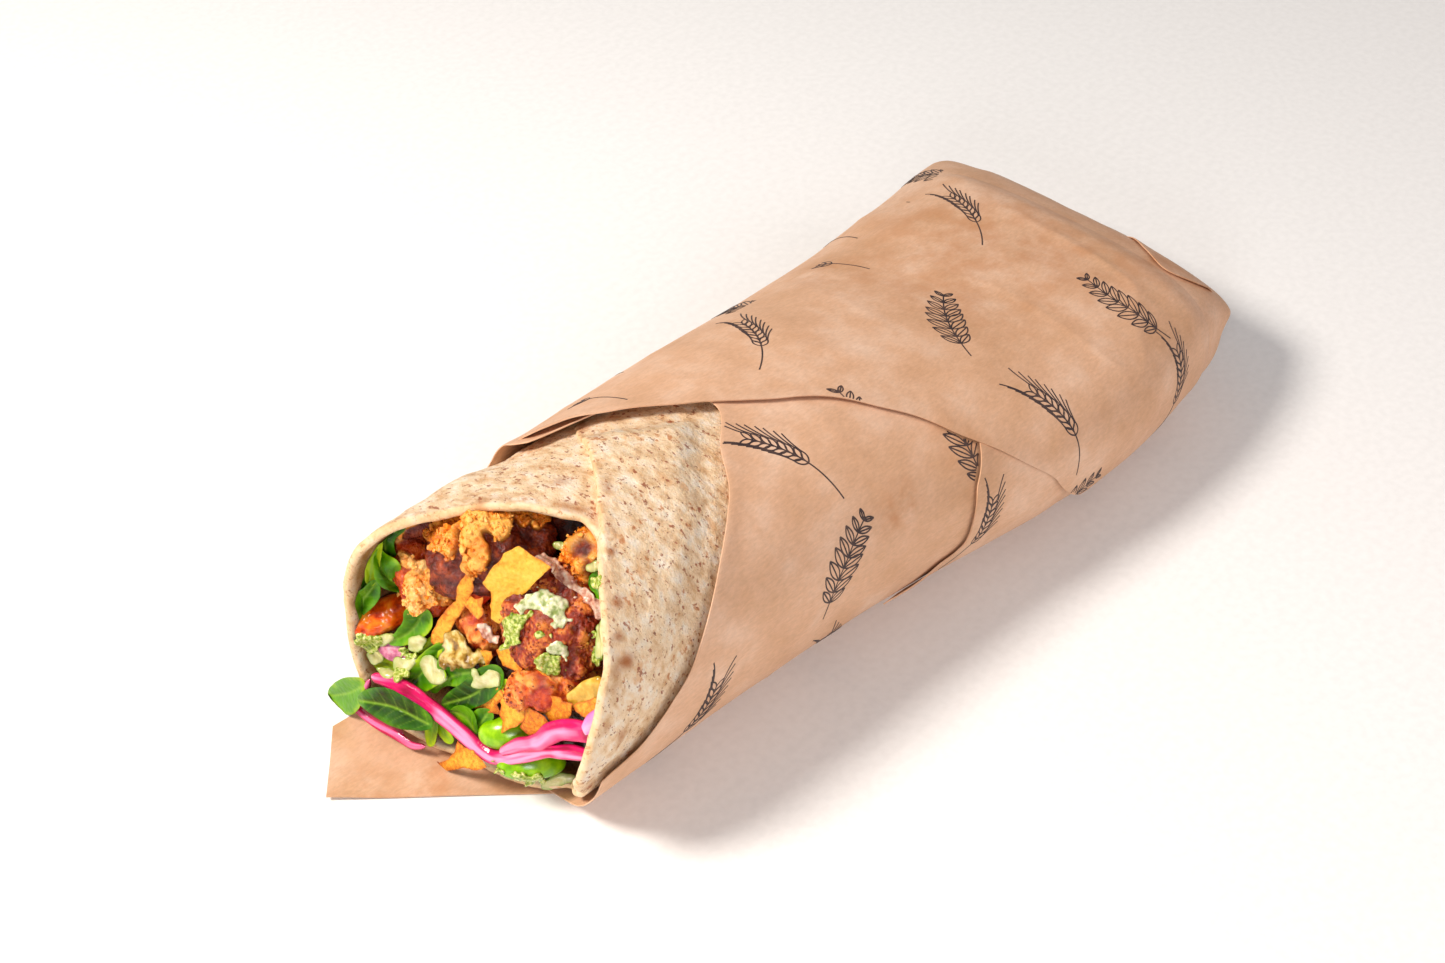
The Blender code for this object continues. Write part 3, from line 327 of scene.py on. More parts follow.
def noise(points, size, seed=0, octaves=1):
    """Smooth noise from -1 to 1: random values on a lattice of `size` mm, blended by a soft step."""
    total = np.zeros(points.shape[:-1])
    for k in range(octaves):
        p = points / size * 2 ** k
        cell = np.floor(p).astype(np.int64)
        part = p - cell
        part = part * part * (3 - 2 * part)
        here = np.zeros(points.shape[:-1])
        for corner in CORNERS:
            here += np.prod(np.where(corner, part, 1 - part), axis=-1) * lattice(cell + corner, seed + k)
        total += (2 * here - 1) / 2 ** k
    return total / (2 - 0.5 ** (octaves - 1))


def grains(points, size, seed=0):
    """Distance, in cells, to the nearest of points scattered one to a cell of `size` mm, and its random number."""
    p = points / size
    cell = np.floor(p).astype(np.int64)
    best = np.full(points.shape[:-1], 9.0)
    own = np.zeros(points.shape[:-1])
    for offset in NEIGHBOURS:
        here = cell + offset
        jitter = np.stack([lattice(here, seed + k) for k in range(3)], axis=-1)
        distance = np.linalg.norm(here + jitter - p, axis=-1)
        own = np.where(distance < best, lattice(here, seed + 3), own)
        best = np.minimum(best, distance)
    return best, own


def domes(points, size, seed=0):
    """Round bumps, one to a cell, of uneven height: 0 in the cracks between them and up to 1 on top."""
    distance, own = grains(points, size, seed)
    return np.sqrt(np.clip(1 - 1.3 * distance ** 2, 0, 1)) * (0.2 + 0.8 * own)


def points_at(a, b, c):
    """Points whose three coordinates are arrays or numbers that are spread over one shape."""
    return np.stack(np.broadcast_arrays(a, b, c), axis=-1).astype(float)


def unit(vector):
    """Vectors of length one."""
    vector = np.asarray(vector, float)
    return vector / np.maximum(np.linalg.norm(vector, axis=-1, keepdims=True), 1e-12)


# Strips lie flat to a direction between the eye and the outward face of the filling
FRONT = unit(VIEW_BACK + unit((-1.0, -0.1, 0.25)))


def frames(path):
    """Across and out directions at each point of a path over the filling, with out as near FRONT as it can be."""
    along = unit(np.gradient(path, axis=0))
    across = unit(np.cross(np.broadcast_to(FRONT, along.shape), along))
    return across, np.cross(along, across)


def reach_along(points):
    """Distance along a line of points from the first of them to each."""
    return np.concatenate([[0], np.cumsum(np.linalg.norm(np.diff(points, axis=0), axis=1))])


def smooth_path(points, count):
    """Evenly spread points on a soft curve through a few named ones."""
    points = np.asarray(points, float)
    reach = reach_along(points)
    at = np.linspace(0, reach[-1], count)
    if len(points) == 2:
        return points[0] + (points[1] - points[0]) * (at / reach[-1])[:, None]
    return np.stack([curve(at, reach, points[:, k]) for k in range(3)], axis=1)


def outline(tenths):
    """Points (across, up) in mm from one row of tenths of a mm."""
    return np.reshape(tenths, (-1, 2)) / 10


def rounded(corners, times):
    """Closed outline whose corners are cut off, a quarter of each side at a time, until it is soft."""
    for _ in range(times):
        after = np.roll(corners, -1, axis=0)
        corners = np.stack([0.75 * corners + 0.25 * after, 0.25 * corners + 0.75 * after], axis=1).reshape(-1, 2)
    return corners


def off_segment(across, up, start, stop):
    """Distance from the nearest point of a straight line between two ends, and what share of the way along it is."""
    dx, dy = stop[0] - start[0], stop[1] - start[1]
    t = np.clip(((across - start[0]) * dx + (up - start[1]) * dy) / max(dx * dx + dy * dy, 1e-9), 0, 1)
    return np.hypot(across - start[0] - t * dx, up - start[1] - t * dy), t


def inside_by(across, up, corners):
    """How far inside a closed outline each point is: the distance to its nearest side, negative outside it."""
    nearest = np.full(np.shape(across), 1e9)
    inside = np.zeros(np.shape(across), bool)
    for (ax, ay), (bx, by) in zip(corners, np.roll(corners, -1, axis=0)):
        nearest = np.minimum(nearest, off_segment(across, up, (ax, ay), (bx, by))[0])
        if by != ay:
            inside ^= ((ay > up) != (by > up)) & (across < ax + (up - ay) * (bx - ax) / (by - ay))
    return np.where(inside, nearest, -nearest)


def along_line(across, up, line):
    """Distance to the nearest point of a line of (across, up) points, and how far along the line that point is."""
    nearest = np.full(np.shape(across), 1e9)
    reach = np.zeros(np.shape(across))
    for start, stop, done in zip(line[:-1], line[1:], reach_along(line)):
        distance, t = off_segment(across, up, start, stop)
        reach = np.where(distance < nearest, done + t * np.linalg.norm(stop - start), reach)
        nearest = np.minimum(nearest, distance)
    return nearest, reach


def drawn_in(across, up, depth, step):
    """Grid points just outside an outline, moved on to it down the slope of `depth`, and the cells that touch it."""
    slope = np.gradient(depth, step)
    steep = np.maximum(slope[0] ** 2 + slope[1] ** 2, 0.3)
    pull = np.where(depth < 0, np.clip(-depth, 0, 1.6 * step) / steep, 0.0)
    inside = depth > 0
    keep = inside[:-1, :-1] | inside[1:, :-1] | inside[1:, 1:] | inside[:-1, 1:]
    return across + slope[0] * pull, up + slope[1] * pull, np.clip(depth, 0, None), keep.ravel()


def outline_grid(corners, step, seed, ragged, soft, grow):
    """Grid over a softened outline, grown, and torn by noise of `ragged` mm: across, up, depth and kept cells."""
    soft_outline = rounded(corners, soft)
    low, high = soft_outline.min(axis=0) - 1.5, soft_outline.max(axis=0) + 1.5
    across, up = np.meshgrid(np.arange(low[0], high[0], step), np.arange(low[1], high[1], step), indexing="ij")
    depth = inside_by(across, up, soft_outline) + grow + ragged * noise(points_at(across, up, seed * 5.0), 1.5, seed, 2)
    return drawn_in(across, up, depth, step)


# ---- the roll

def squareness(x, near, low):
    """Power of the squared oval at a station: higher on its lower half, most of all on the far side."""
    lower = np.where(near, np.interp(x, SQUARE_AT, LOWER_SQUARENESS_NEAR),
                     np.interp(x, SQUARE_AT, LOWER_SQUARENESS_FAR))
    return np.where(low, lower, np.interp(x, SQUARE_AT, SQUARENESS))


def skin(x, angle, depth):
    """Points of a layer that lies `depth` inside the outermost paper: a squared oval round the roll's axis."""
    x, angle, depth = np.broadcast_arrays(x, angle, depth)
    turn = np.radians(angle)
    half = curve(x, STATIONS, HEIGHTS) / 2
    width = curve(x, STATIONS, HALF_WIDTHS) - depth
    side = -np.sin(turn)
    lift = -np.cos(turn)
    power = 2 / squareness(x, side < 0, lift < 0)
    y = curve(x, STATIONS, CENTRES) + width * np.sign(side) * np.abs(side) ** power
    reach = half - depth + np.where(lift < 0, FLOOR_SAG, 0.0)
    z = half + reach * np.sign(lift) * np.abs(lift) ** power
    return np.stack([x, y, np.maximum(z, np.maximum(depth - LAP, 0.0))], axis=-1)


def kept_inside(points):
    """Filling points held inside the tortilla's wall and above the sheet on the floor.

    A point further out than the wall, measured by the oval's own equation, is drawn straight in to it.
    """
    x, y, z = np.moveaxis(points, -1, 0)
    half = curve(x, STATIONS, HEIGHTS) / 2
    off_y = y - curve(x, STATIONS, CENTRES)
    off_z = z - half
    power = squareness(x, off_y < 0, off_z < 0)
    depth = TORTILLA_DEPTH + TORTILLA + WALL_GAP
    for _ in range(2):
        wide = np.abs(off_y) / (curve(x, STATIONS, HALF_WIDTHS) - depth)
        tall = np.abs(off_z) / (half - depth + np.where(off_z < 0, FLOOR_SAG, 0.0))
        ratio = (wide ** power + tall ** power) ** (1 / power)
        safe = np.maximum(ratio, 1e-6)
        side = np.sign(off_y) * (wide / safe) ** (power / 2)
        lift = np.sign(off_z) * (tall / safe) ** (power / 2)
        angle = np.degrees(np.arctan2(-side, -lift)) % 360
        depth = tortilla_depth(x, angle) + TORTILLA + WALL_GAP
    held = rise(x - edge(angle, TORTILLA_RIM), -0.4, 0.8)
    pull = 1 + (1 / np.maximum(ratio, 1.0) - 1) * held
    floor = SHEET_TOP + (TORTILLA + 1.0) * held
    return np.stack([x, y + off_y * (pull - 1), np.maximum(z + off_z * (pull - 1), floor)], axis=-1)


def tilted(across, up, corners, base, tilt):
    """Lift of a flat piece: `base` at the middle of its corners, rising by `tilt` across and up."""
    middle = corners.mean(axis=0)
    return base + tilt[0] * (across - middle[0]) + tilt[1] * (up - middle[1])


def even_angles(count, start=0.0, stop=360.0, x=40.0):
    """Angles from start to stop that are evenly spaced along the surface, not in degrees."""
    fine = np.linspace(start, stop, 2001)
    reach = reach_along(skin(x, fine, 2.0))
    return np.interp(np.linspace(0, reach[-1], count), reach, fine)


def crumple(points):
    """Folds of the crushed sheet: soft noise that is longer along the roll than across it."""
    return CREASE_HEIGHT * np.clip(noise(points * (1.0, 1.6, 1.6), CREASE_SIZE, 5, 2) * 0.8 + 0.5, 0, 1)


def paper_depth(x, angle):
    """The sheet spirals: outermost on the far side, one lap lower on the near side and the top."""
    far = rise(angle, *FAR_TOP) * (1 - rise(angle, *FAR_FLOOR))
    base = LAP * (1 - far)
    free = rise(x, 30, 60) * (1 - rise(x, 170, 184))
    return base - free * crumple(skin(x, angle, base)) * (1 - far) * (1 - 0.2 * rise(angle, 20, 60))


def in_the_open(x, angle):
    """1 where the tortilla lies bare, fading to 0 short of the paper's nearest edge."""
    outer = np.where(angle < OUTER_FLAP_ANGLES[1], edge(angle, OUTER_FLAP_EDGE), 1000.0)
    return 1 - rise(x - np.minimum(edge(angle, PAPER_EDGE), outer), -14, -3)


def tortilla_depth(x, angle):
    """Outside of the rolled tortilla: it bulges where no paper holds it and steps down under its last flap."""
    bare = in_the_open(x, angle) * rise(angle, 55, 85) * (1 - rise(angle, 306, 330))
    neck, start, stop = TORTILLA_NECK
    far = 0.5 * rise(angle, 205, 225) + 0.6 * rise(angle, 262, 290)
    base = TORTILLA_DEPTH - bare * BULGE * (1 + far) + neck * rise(x, start, stop)
    under = rise(angle, 148, 163) * (1 - rise(angle, 205, 232)) * (1 - rise(x, 52, 72))
    return base + under * (FLAP_STEP - base)


def flap_depth(x, angle):
    """Outside of the flap that closes the roll."""
    return TORTILLA_DEPTH - in_the_open(x, angle) * BULGE * (1 + 0.43 * rise(angle, 150, 170))


def mouth(y, z):
    """Distance along the roll of the surface that the filling shows in the open end."""
    upper = np.clip(z / 62, 0, 1) ** 1.3 * np.interp(y, [-34, 0, 20, 36], [1.0, 1.0, 0.75, 0.25])
    return -17 + 20 * upper - 3 * np.clip(y / 34, 0, 1) ** 2


def on_plane(across, up):
    """Offset from the foot of the eye's axis, on the plane that the filling is laid out on."""
    return VIEW_RIGHT * (across + PLANE_SHIFT[0])[..., None] + VIEW_UP * (up + PLANE_SHIFT[1])[..., None]


def seen(across, up, lift=0.0):
    """Points on the surface of the filling, `across` and `up` from the middle of the open end as it is seen.

    Each line of sight is halved until it meets that surface; `lift` then brings the point nearer to the viewer.
    """
    across, up, lift = np.broadcast_arrays(*[np.asarray(v, float) for v in (across, up, lift)])
    ray = on_plane(across, up) - VIEW_BACK * PLANE_DISTANCE
    near = np.full(across.shape, 0.6)
    far = np.full(across.shape, 1.3)
    for _ in range(30):
        half = (near + far) / 2
        point = EYE + ray * half[..., None]
        inside = point[..., 0] > mouth(point[..., 1], point[..., 2])
        far = np.where(inside, half, far)
        near = np.where(inside, near, half)
    return EYE + ray * near[..., None] - unit(ray) * lift[..., None]


# ---- meshes

def quads(rows, cols, closed):
    """Corner numbers of the quads of a grid; in a closed one the last column meets the first."""
    i, j = np.meshgrid(np.arange(rows - 1), np.arange(cols if closed else cols - 1), indexing="ij")
    k = (j + 1) % cols
    return np.stack([i * cols + j, i * cols + k, (i + 1) * cols + k, (i + 1) * cols + j], axis=-1).reshape(-1, 4)


def outward(points, faces):
    """The faces, turned over if the volume that they enclose is negative."""
    a = points[faces[:, 0]]
    volume = sum(np.einsum("ij,ij->", a, np.cross(points[faces[:, k]], points[faces[:, k + 1]]))
                 for k in range(1, faces.shape[1] - 1))
    return faces if volume > 0 else faces[:, [1, 0, 3, 2]]


def shell(top, under, **values):
    """Closed body between two open grids of one size, with walls along the four edges."""
    rows, cols = top.shape[:2]
    size = rows * cols
    flat = quads(rows, cols, False)
    index = np.arange(size).reshape(rows, cols)
    loop = np.concatenate([index[0, :-1], index[:-1, -1], index[-1, :0:-1], index[:0:-1, 0]])
    after = np.roll(loop, -1)
    wall = np.stack([loop, after, after + size, loop + size], axis=1)
    faces = np.concatenate([flat[:, ::-1], flat + size, wall])
    points = np.concatenate([top.reshape(-1, 3), under.reshape(-1, 3)])
    doubled = {name: np.concatenate([grid.ravel(), grid.ravel()]) for name, grid in values.items()}
    return points, outward(points, faces), doubled


def rings(grid, **values):
    """Closed body made of closed rings, shut by a point at both ends."""
    rows, cols = grid.shape[:2]
    points = np.concatenate([grid.reshape(-1, 3), grid[:1].mean(axis=1), grid[-1:].mean(axis=1)])
    turn = np.arange(cols)
    after = (turn + 1) % cols
    base = (rows - 1) * cols
    pole = np.full(cols, rows * cols)
    first = np.stack([after, turn, pole, pole], axis=1)
    last = np.stack([turn + base, after + base, pole + 1, pole + 1], axis=1)
    faces = np.concatenate([quads(rows, cols, True), first, last])
    capped = {name: np.concatenate([v.ravel(), [v[0].mean(), v[-1].mean()]]) for name, v in values.items()}
    return points, outward(points, faces), capped


def placed(name, data):
    """A new object in the scene."""
    made = bpy.data.objects.new(name, data)
    bpy.context.scene.collection.objects.link(made)
    return made


def new_piece(name, bodies, material, slot, *nodes, sharp=180):
    """One mesh from closed bodies: points (mm), faces (a triangle repeats its last corner) and values at points.

    Edges that turn by more than `sharp` degrees stay sharp.
    """
    points = np.concatenate([body[0] for body in bodies]) * MM
    starts = np.cumsum([0] + [len(body[0]) for body in bodies[:-1]])
    faces = np.concatenate([body[1] + start for body, start in zip(bodies, starts)])
    corners = np.where(faces[:, 2] == faces[:, 3], 3, 4)
    mesh = bpy.data.meshes.new(name)
    mesh.vertices.add(len(points))
    mesh.vertices.foreach_set("co", points.astype(np.float32).ravel())
    mesh.loops.add(int(corners.sum()))
    mesh.loops.foreach_set("vertex_index", faces[np.arange(4) < corners[:, None]].astype(np.int32))
    mesh.polygons.add(len(faces))
    mesh.polygons.foreach_set("loop_start", (np.cumsum(corners) - corners).astype(np.int32))
    mesh.update(calc_edges=True)
    for key in bodies[0][2]:
        layer = mesh.attributes.new(key, "FLOAT", "POINT")
        layer.data.foreach_set("value", np.concatenate([body[2][key] for body in bodies]).astype(np.float32))
    mesh.materials.append(material)
    mesh.shade_smooth()
    mesh.set_sharp_from_angle(angle=math.radians(sharp))
    piece = placed(name, mesh)
    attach(piece, "root")
    if nodes:
        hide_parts(*nodes)
    return piece


# ---- materials

def linear(code):
    """sRGB hex, such as D9AE8C, to linear red, green, blue and alpha."""
    channels = [int(code[i:i + 2], 16) / 255 for i in (0, 2, 4)]
    return (*[c / 12.92 if c <= 0.04045 else ((c + 0.055) / 1.055) ** 2.4 for c in channels], 1.0)


def new_material(name):
    """An empty node material and its nodes, with the Object coordinates that its patterns are laid out on."""
    material = bpy.data.materials.new(name)
    material.use_nodes = True
    add(material.node_tree, "TexCoord", name="place")
    return material, material.node_tree


OUTPUTS = {"Attribute": "Fac", "Bump": "Normal", "Mapping": "Vector", "MapRange": "Result", "Math": "Value", "Mix": 2,
           "TexCoord": "Object", "TexNoise": "Fac", "TexVoronoi": "Distance", "ValToRGB": "Color"}


def add(tree, kind, inputs=None, stops=(), **settings):
    """Add a node and give back its output.

    An input is a number, a colour or another node's output; stops are a colour ramp's; settings are its own fields.
    A pattern lies on the Object coordinates unless it is given others, and its Scale is the mm between its features.
    """
    made = tree.nodes.new("ShaderNode" + kind)
    if kind == "Mix":
        made.data_type = "RGBA"
    for field, value in settings.items():
        setattr(made, field, value)
    inputs = dict(inputs or {})
    if kind in ("Mapping", "TexNoise", "TexVoronoi"):
        inputs.setdefault("Vector", tree.nodes["place"].outputs["Object"])
    for socket, value in inputs.items():
        if isinstance(value, bpy.types.NodeSocket):
            tree.links.new(value, made.inputs[socket])
        elif socket == "Scale" and kind != "Mapping":
            made.inputs[socket].default_value = 1 / (value * MM)
        else:
            made.inputs[socket].default_value = linear(value) if isinstance(value, str) else value
    for place, (position, shade) in enumerate(stops):
        stop = made.color_ramp.elements[place] if place < 2 else made.color_ramp.elements.new(position)
        stop.position = position
        stop.color = linear(shade) if isinstance(shade, str) else shade
    return made.outputs[OUTPUTS[kind]]


def finished(material, colour, rough, height, bump_mm, strength=0.6, soak=0.0, reach=(2.0, 1.2, 0.6), shine=0.5):
    """Join a material up: colour, roughness, relief, and how much light soaks in and how far (mm)."""
    tree = material.node_tree
    shader = tree.nodes["Principled BSDF"]
    tree.links.new(colour, shader.inputs["Base Color"])
    if isinstance(rough, float):
        shader.inputs["Roughness"].default_value = rough
    else:
        tree.links.new(rough, shader.inputs["Roughness"])
    shader.inputs["Specular IOR Level"].default_value = shine
    shader.inputs["Subsurface Weight"].default_value = soak
    shader.inputs["Subsurface Radius"].default_value = [length * MM for length in reach]
    normal = add(tree, "Bump", {"Height": height, "Distance": bump_mm * MM, "Strength": strength})
    tree.links.new(normal, shader.inputs["Normal"])
    return material


def kraft_material(colours):
    """Kraft paper, machine-made and uncoated: a matt sheet, clouded by its fibres, stained by grease."""
    material, tree = new_material("kraft_paper_uncoated")
    clouds = add(tree, "TexNoise", {"Scale": 16, "Detail": 5.0, "Roughness": 0.6})
    sheet = add(tree, "ValToRGB", {"Fac": clouds},
                ((0.28, colours.paper_dark), (0.52, colours.paper), (0.78, colours.paper_pale)))
    # Fibres are about 0.02 mm thick and are drawn 0.6 mm apart, along the roll, so that they show
    lay = add(tree, "Mapping", {"Scale": (1.0, 3.0, 3.0)})
    fibres = add(tree, "TexNoise", {"Vector": lay, "Scale": 1.8, "Detail": 5.0, "Roughness": 0.75})
    fibre_tone = add(tree, "MapRange", {"Value": fibres, "From Min": 0.3, "From Max": 0.7, "To Min": 0.87,
                                        "To Max": 1.09})
    toned = add(tree, "Mix", {0: 1.0, 6: sheet, 7: fibre_tone}, blend_type="MULTIPLY")
    stain = add(tree, "Attribute", attribute_name="stain")
    blots = add(tree, "TexNoise", {"Scale": 7, "Detail": 6.0, "Roughness": 0.6})
    spread_out = add(tree, "MapRange", {"Value": blots, "From Min": 0.4, "From Max": 0.62, "To Max": 0.75})
    soaked = add(tree, "Math", {0: spread_out, 1: stain}, operation="MULTIPLY", use_clamp=True)
    greased = add(tree, "Mix", {0: soaked, 6: toned, 7: colours.grease})
    sheen = add(tree, "MapRange", {"Value": clouds, "To Min": 0.5, "To Max": 0.66})
    return finished(material, greased, sheen, fibres, 0.14, strength=0.3, shine=0.3)


def ink_material(colours):
    """Flexographic ink, printed and dried on paper: flat, dark and a little brown, worn where it was rubbed."""
    material, tree = new_material("printed_ink")
    worn = add(tree, "TexNoise", {"Scale": 3, "Detail": 3.0})
    shade = add(tree, "ValToRGB", {"Fac": worn}, ((0.35, colours.ink), (0.8, "5B443C")))
    return finished(material, shade, 0.6, worn, 0.05)


def tortilla_material(colours):
    """Wheat tortilla, pressed and griddled: floury and matt, with flecks of bran and toasted blisters."""
    material, tree = new_material("griddled_wheat_tortilla")
    pull = add(tree, "Mapping", {"Scale": (1.3, 0.8, 1.0), "Rotation": (0.0, 0.5, 0.35)})
    flour = add(tree, "TexNoise", {"Vector": pull, "Scale": 3.4, "Detail": 5.0, "Roughness": 0.62})
    shade = add(tree, "ValToRGB", {"Fac": flour}, ((0.32, "CDA478"), (0.5, colours.tortilla), (0.66, "EDDFCB")))
    # Flakes of bran: the peaks of noise of four sizes (mm), from tan to red brown
    for size, level, code, share in ((7.0, 0.61, "D9A878", 0.7), (3.0, 0.625, "B9733F", 0.8),
                                     (1.6, 0.60, "93492A", 0.85), (1.0, 0.635, "6E3520", 0.85)):
        peaks = add(tree, "TexNoise", {"Vector": pull, "Scale": size, "Detail": 3.0, "Roughness": 0.65})
        near = add(tree, "MapRange", {"Value": peaks, "From Min": level, "From Max": level + 0.06, "To Max": share})
        shade = add(tree, "Mix", {0: near, 6: shade, 7: code})
    # The rim is yellower, the inside is sauce-stained and painted darker deeper in as painted shade, and some blisters
    # are toasted
    for key, code in (("rim", "EABF84"), ("soaked", "8E5C22"), ("toast", "A5602C")):
        mask = add(tree, "Attribute", attribute_name=key)
        shade = add(tree, "Mix", {0: mask, 6: shade, 7: code})
    grain = add(tree, "TexNoise", {"Scale": 1.6, "Detail": 5.0, "Roughness": 0.65})
    return finished(material, shade, 0.62, grain, 0.6, strength=0.8, soak=0.1)


def chicken_material(name, ramp, meat_codes, gloss):
    """Fried chicken: golden crumbs, painted paler on their peaks and darker in their cracks as light and shade, over
    wet glazed meat.
    """
    material, tree = new_material(name)
    crust = add(tree, "Attribute", attribute_name="crust")
    grain = add(tree, "Attribute", attribute_name="grain")
    patches = add(tree, "TexNoise", {"Scale": 2.4, "Detail": 5.0, "Roughness": 0.7})
    # Paler on the crust's peaks and darker in its cracks, by its height in grain: painted light and shade
    tone = add(tree, "MapRange", {"Value": grain, "To Min": -0.25, "To Max": 0.6})
    lift = add(tree, "Math", {0: patches, 1: 0.75, 2: tone}, operation="MULTIPLY_ADD")
    fried = add(tree, "ValToRGB", {"Fac": lift}, ramp)
    meat = add(tree, "ValToRGB", {"Fac": patches}, tuple(zip((0.34, 0.5, 0.68), meat_codes)))
    both = add(tree, "Mix", {0: crust, 6: meat, 7: fried})
    wet = add(tree, "MapRange", {"Value": crust, "To Min": gloss, "To Max": 1.9 * gloss})
    fine = add(tree, "TexNoise", {"Scale": 0.9, "Detail": 4.0, "Roughness": 0.7})
    return finished(material, both, wet, fine, 0.5, strength=0.9, soak=0.12, reach=(1.2, 0.5, 0.2))


def crumb_material(name, ramp, roughness):
    """Fried crumbs: dry and granular, each its own shade from pale gold to brown: partly random, partly painted light
    and shade by height.
    """
    material, tree = new_material(name)
    own = add(tree, "Attribute", attribute_name="tone")
    grit = add(tree, "TexNoise", {"Scale": 0.6, "Detail": 3.0})
    tone = add(tree, "Math", {0: grit, 1: 0.5, 2: own}, operation="MULTIPLY_ADD")
    shade = add(tree, "ValToRGB", {"Fac": tone}, ramp)
    return finished(material, shade, roughness, grit, 0.2, strength=0.6, soak=0.2, reach=(1.2, 0.6, 0.2))


def corn_material(colours):
    """Corn tortilla strip, fried: a dry, granular golden crumb, browned along its torn edges and blisters."""
    material, tree = new_material("fried_corn_tortilla")
    # Grains of meal are about 0.4 mm across; they show as they are
    grit = add(tree, "TexNoise", {"Scale": 0.8, "Detail": 5.0, "Roughness": 0.75})
    patches = add(tree, "TexNoise", {"Scale": 4.0, "Detail": 3.0})
    edges = add(tree, "Attribute", attribute_name="edge")
    sums = add(tree, "Math", {0: patches, 1: 0.5, 2: grit}, operation="MULTIPLY_ADD")
    tone = add(tree, "Math", {0: sums, 1: edges}, operation="SUBTRACT")
    shade = add(tree, "ValToRGB", {"Fac": tone},
                ((0.32, "B04A04"), (0.52, "E0800A"), (0.7, colours.corn), (0.95, "F6C64E")))
    return finished(material, shade, 0.4, grit, 0.35, strength=1.0, soak=0.1, reach=(1.0, 0.6, 0.2), shine=0.4)


def leaf_material(colours):
    """Salad leaf, fresh and wet: waxy green skin over pale veins, yellower where light comes through its margin."""
    material, tree = new_material("fresh_salad_leaf")
    vein = add(tree, "Attribute", attribute_name="vein")
    pale = add(tree, "Attribute", attribute_name="pale")
    clouds = add(tree, "TexNoise", {"Scale": 4, "Detail": 3.0})
    tone = add(tree, "Math", {0: clouds, 1: 0.6, 2: pale}, operation="MULTIPLY_ADD")
    blade = add(tree, "ValToRGB", {"Fac": tone},
                ((0.2, "0C2800"), (0.48, colours.leaf), (0.78, "5C9600"), (1.0, "A8BE14")))
    veined = add(tree, "Mix", {0: vein, 6: blade, 7: "86AE30"})
    fine = add(tree, "TexVoronoi", {"Scale": 1.1})
    return finished(material, veined, 0.34, fine, 0.25, strength=0.3, soak=0.03, reach=(0.4, 0.8, 0.2), shine=0.2)


def pickled_material(name, edge_shade, middle_shade):
    """Red cabbage, cut and pickled: wet, glossy, deep at its skins, pale in its own streaks and a painted highlight."""
    material, tree = new_material(name)
    across = add(tree, "Attribute", attribute_name="middle")
    shade = add(tree, "ValToRGB", {"Fac": across},
                ((0.06, edge_shade), (0.4, middle_shade[0]), (0.9, middle_shade[1])))
    fine = add(tree, "TexNoise", {"Scale": 1.0, "Detail": 3.0})
    return finished(material, shade, 0.18, fine, 0.3, strength=0.35, soak=0.12, reach=(1.5, 0.4, 0.9))


def moist_material(name, ramp, size, roughness, depth, bump_mm=0.2, rim=None):
    """A wet vegetable or sauce: two or three shades clouded `size` mm apart, with light soaking in.

    Where a sauce runs out thin, the `rim` shade of what lies under it shows through.
    """
    material, tree = new_material(name)
    clouds = add(tree, "TexNoise", {"Scale": size, "Detail": 4.0, "Roughness": 0.55})
    shade = add(tree, "ValToRGB", {"Fac": clouds}, ramp)
    if rim:
        body = add(tree, "Attribute", attribute_name="value")
        shade = add(tree, "Mix", {0: body, 6: rim, 7: shade})
    return finished(material, shade, roughness, clouds, bump_mm, strength=0.4, soak=depth)


# ---- paper

def wrinkles(x, angle):
    """Soft long folds of the sheet, sharper towards the folded end, in mm."""
    points = skin(x, angle, 0.0)
    soft = noise(points * (0.6, 1.3, 1.0) + 40.0, 21.0, 31, 2)
    ridge = 1 - np.abs(noise(points * (1.5, 0.7, 0.7) + 90.0, 26.0, 37))
    return 0.22 * soft + 0.5 * (ridge ** 6) * rise(x, 120, 185) + 0.12 * ridge ** 8


def sheet_depth(x, angle):
    """Outside of the sheet round the roll; its free edge stands a little off the tortilla."""
    free = x - edge(angle, PAPER_EDGE)
    lift = 0.45 * np.exp(-(np.clip(free, 0, None) / 4.0) ** 2) * rise(angle, 60, 110) * (1 - rise(angle, 290, 330))
    return paper_depth(x, angle) - lift - wrinkles(x, angle) * rise(angle, 20, 60) * (1 - rise(angle, 300, 340))


def outer_flap_depth(x, angle):
    """Outside of the outer flap: it springs up along its free edge and sinks into the sheet at its root."""
    root = rise(angle, 212, OUTER_FLAP_ANGLES[1])
    end = rise(x, OUTER_FLAP_BACK - 10, OUTER_FLAP_BACK)
    swell = crumple(skin(x, angle, 0.0)) * rise(angle, OUTER_FLAP_ANGLES[0], 70)
    free = np.clip(x - edge(angle, OUTER_FLAP_EDGE), 0, None)
    spring = 0.75 * np.exp(-(free / 6.0) ** 2) * (1 - root) * (0.6 + 0.4 * noise(skin(x, angle, 0.0), 30.0, 8))
    return (-swell - wrinkles(x, angle)) * (1 - root) * (1 - end) + 0.3 * root + 1.1 * end - spring


def crease_depth(x, angle):
    """Outside of the creased lap between the sheet and the outer flap."""
    free = np.clip(x - edge(angle, CREASE_EDGE), 0, None)
    spring = 0.5 * np.exp(-(free / 4.0) ** 2)
    return 0.42 - crumple(skin(x, angle, 0.0)) + 0.7 * rise(x, CREASE_BACK - 14, CREASE_BACK) - spring


def end_fold_depth(x, angle):
    """Outside of the pointed fold over the top of the closed end, which lies on the sheet and sinks in at its root."""
    free = np.clip(x - edge(angle, END_FOLD_EDGE), 0, None)
    spring = 0.5 * np.exp(-(free / 3.0) ** 2)
    root = rise(x, END_FOLD_BACK - 4, END_FOLD_BACK)
    return np.minimum(outer_flap_depth(x, angle), sheet_depth(x, angle)) - 0.3 - spring + 1.2 * root


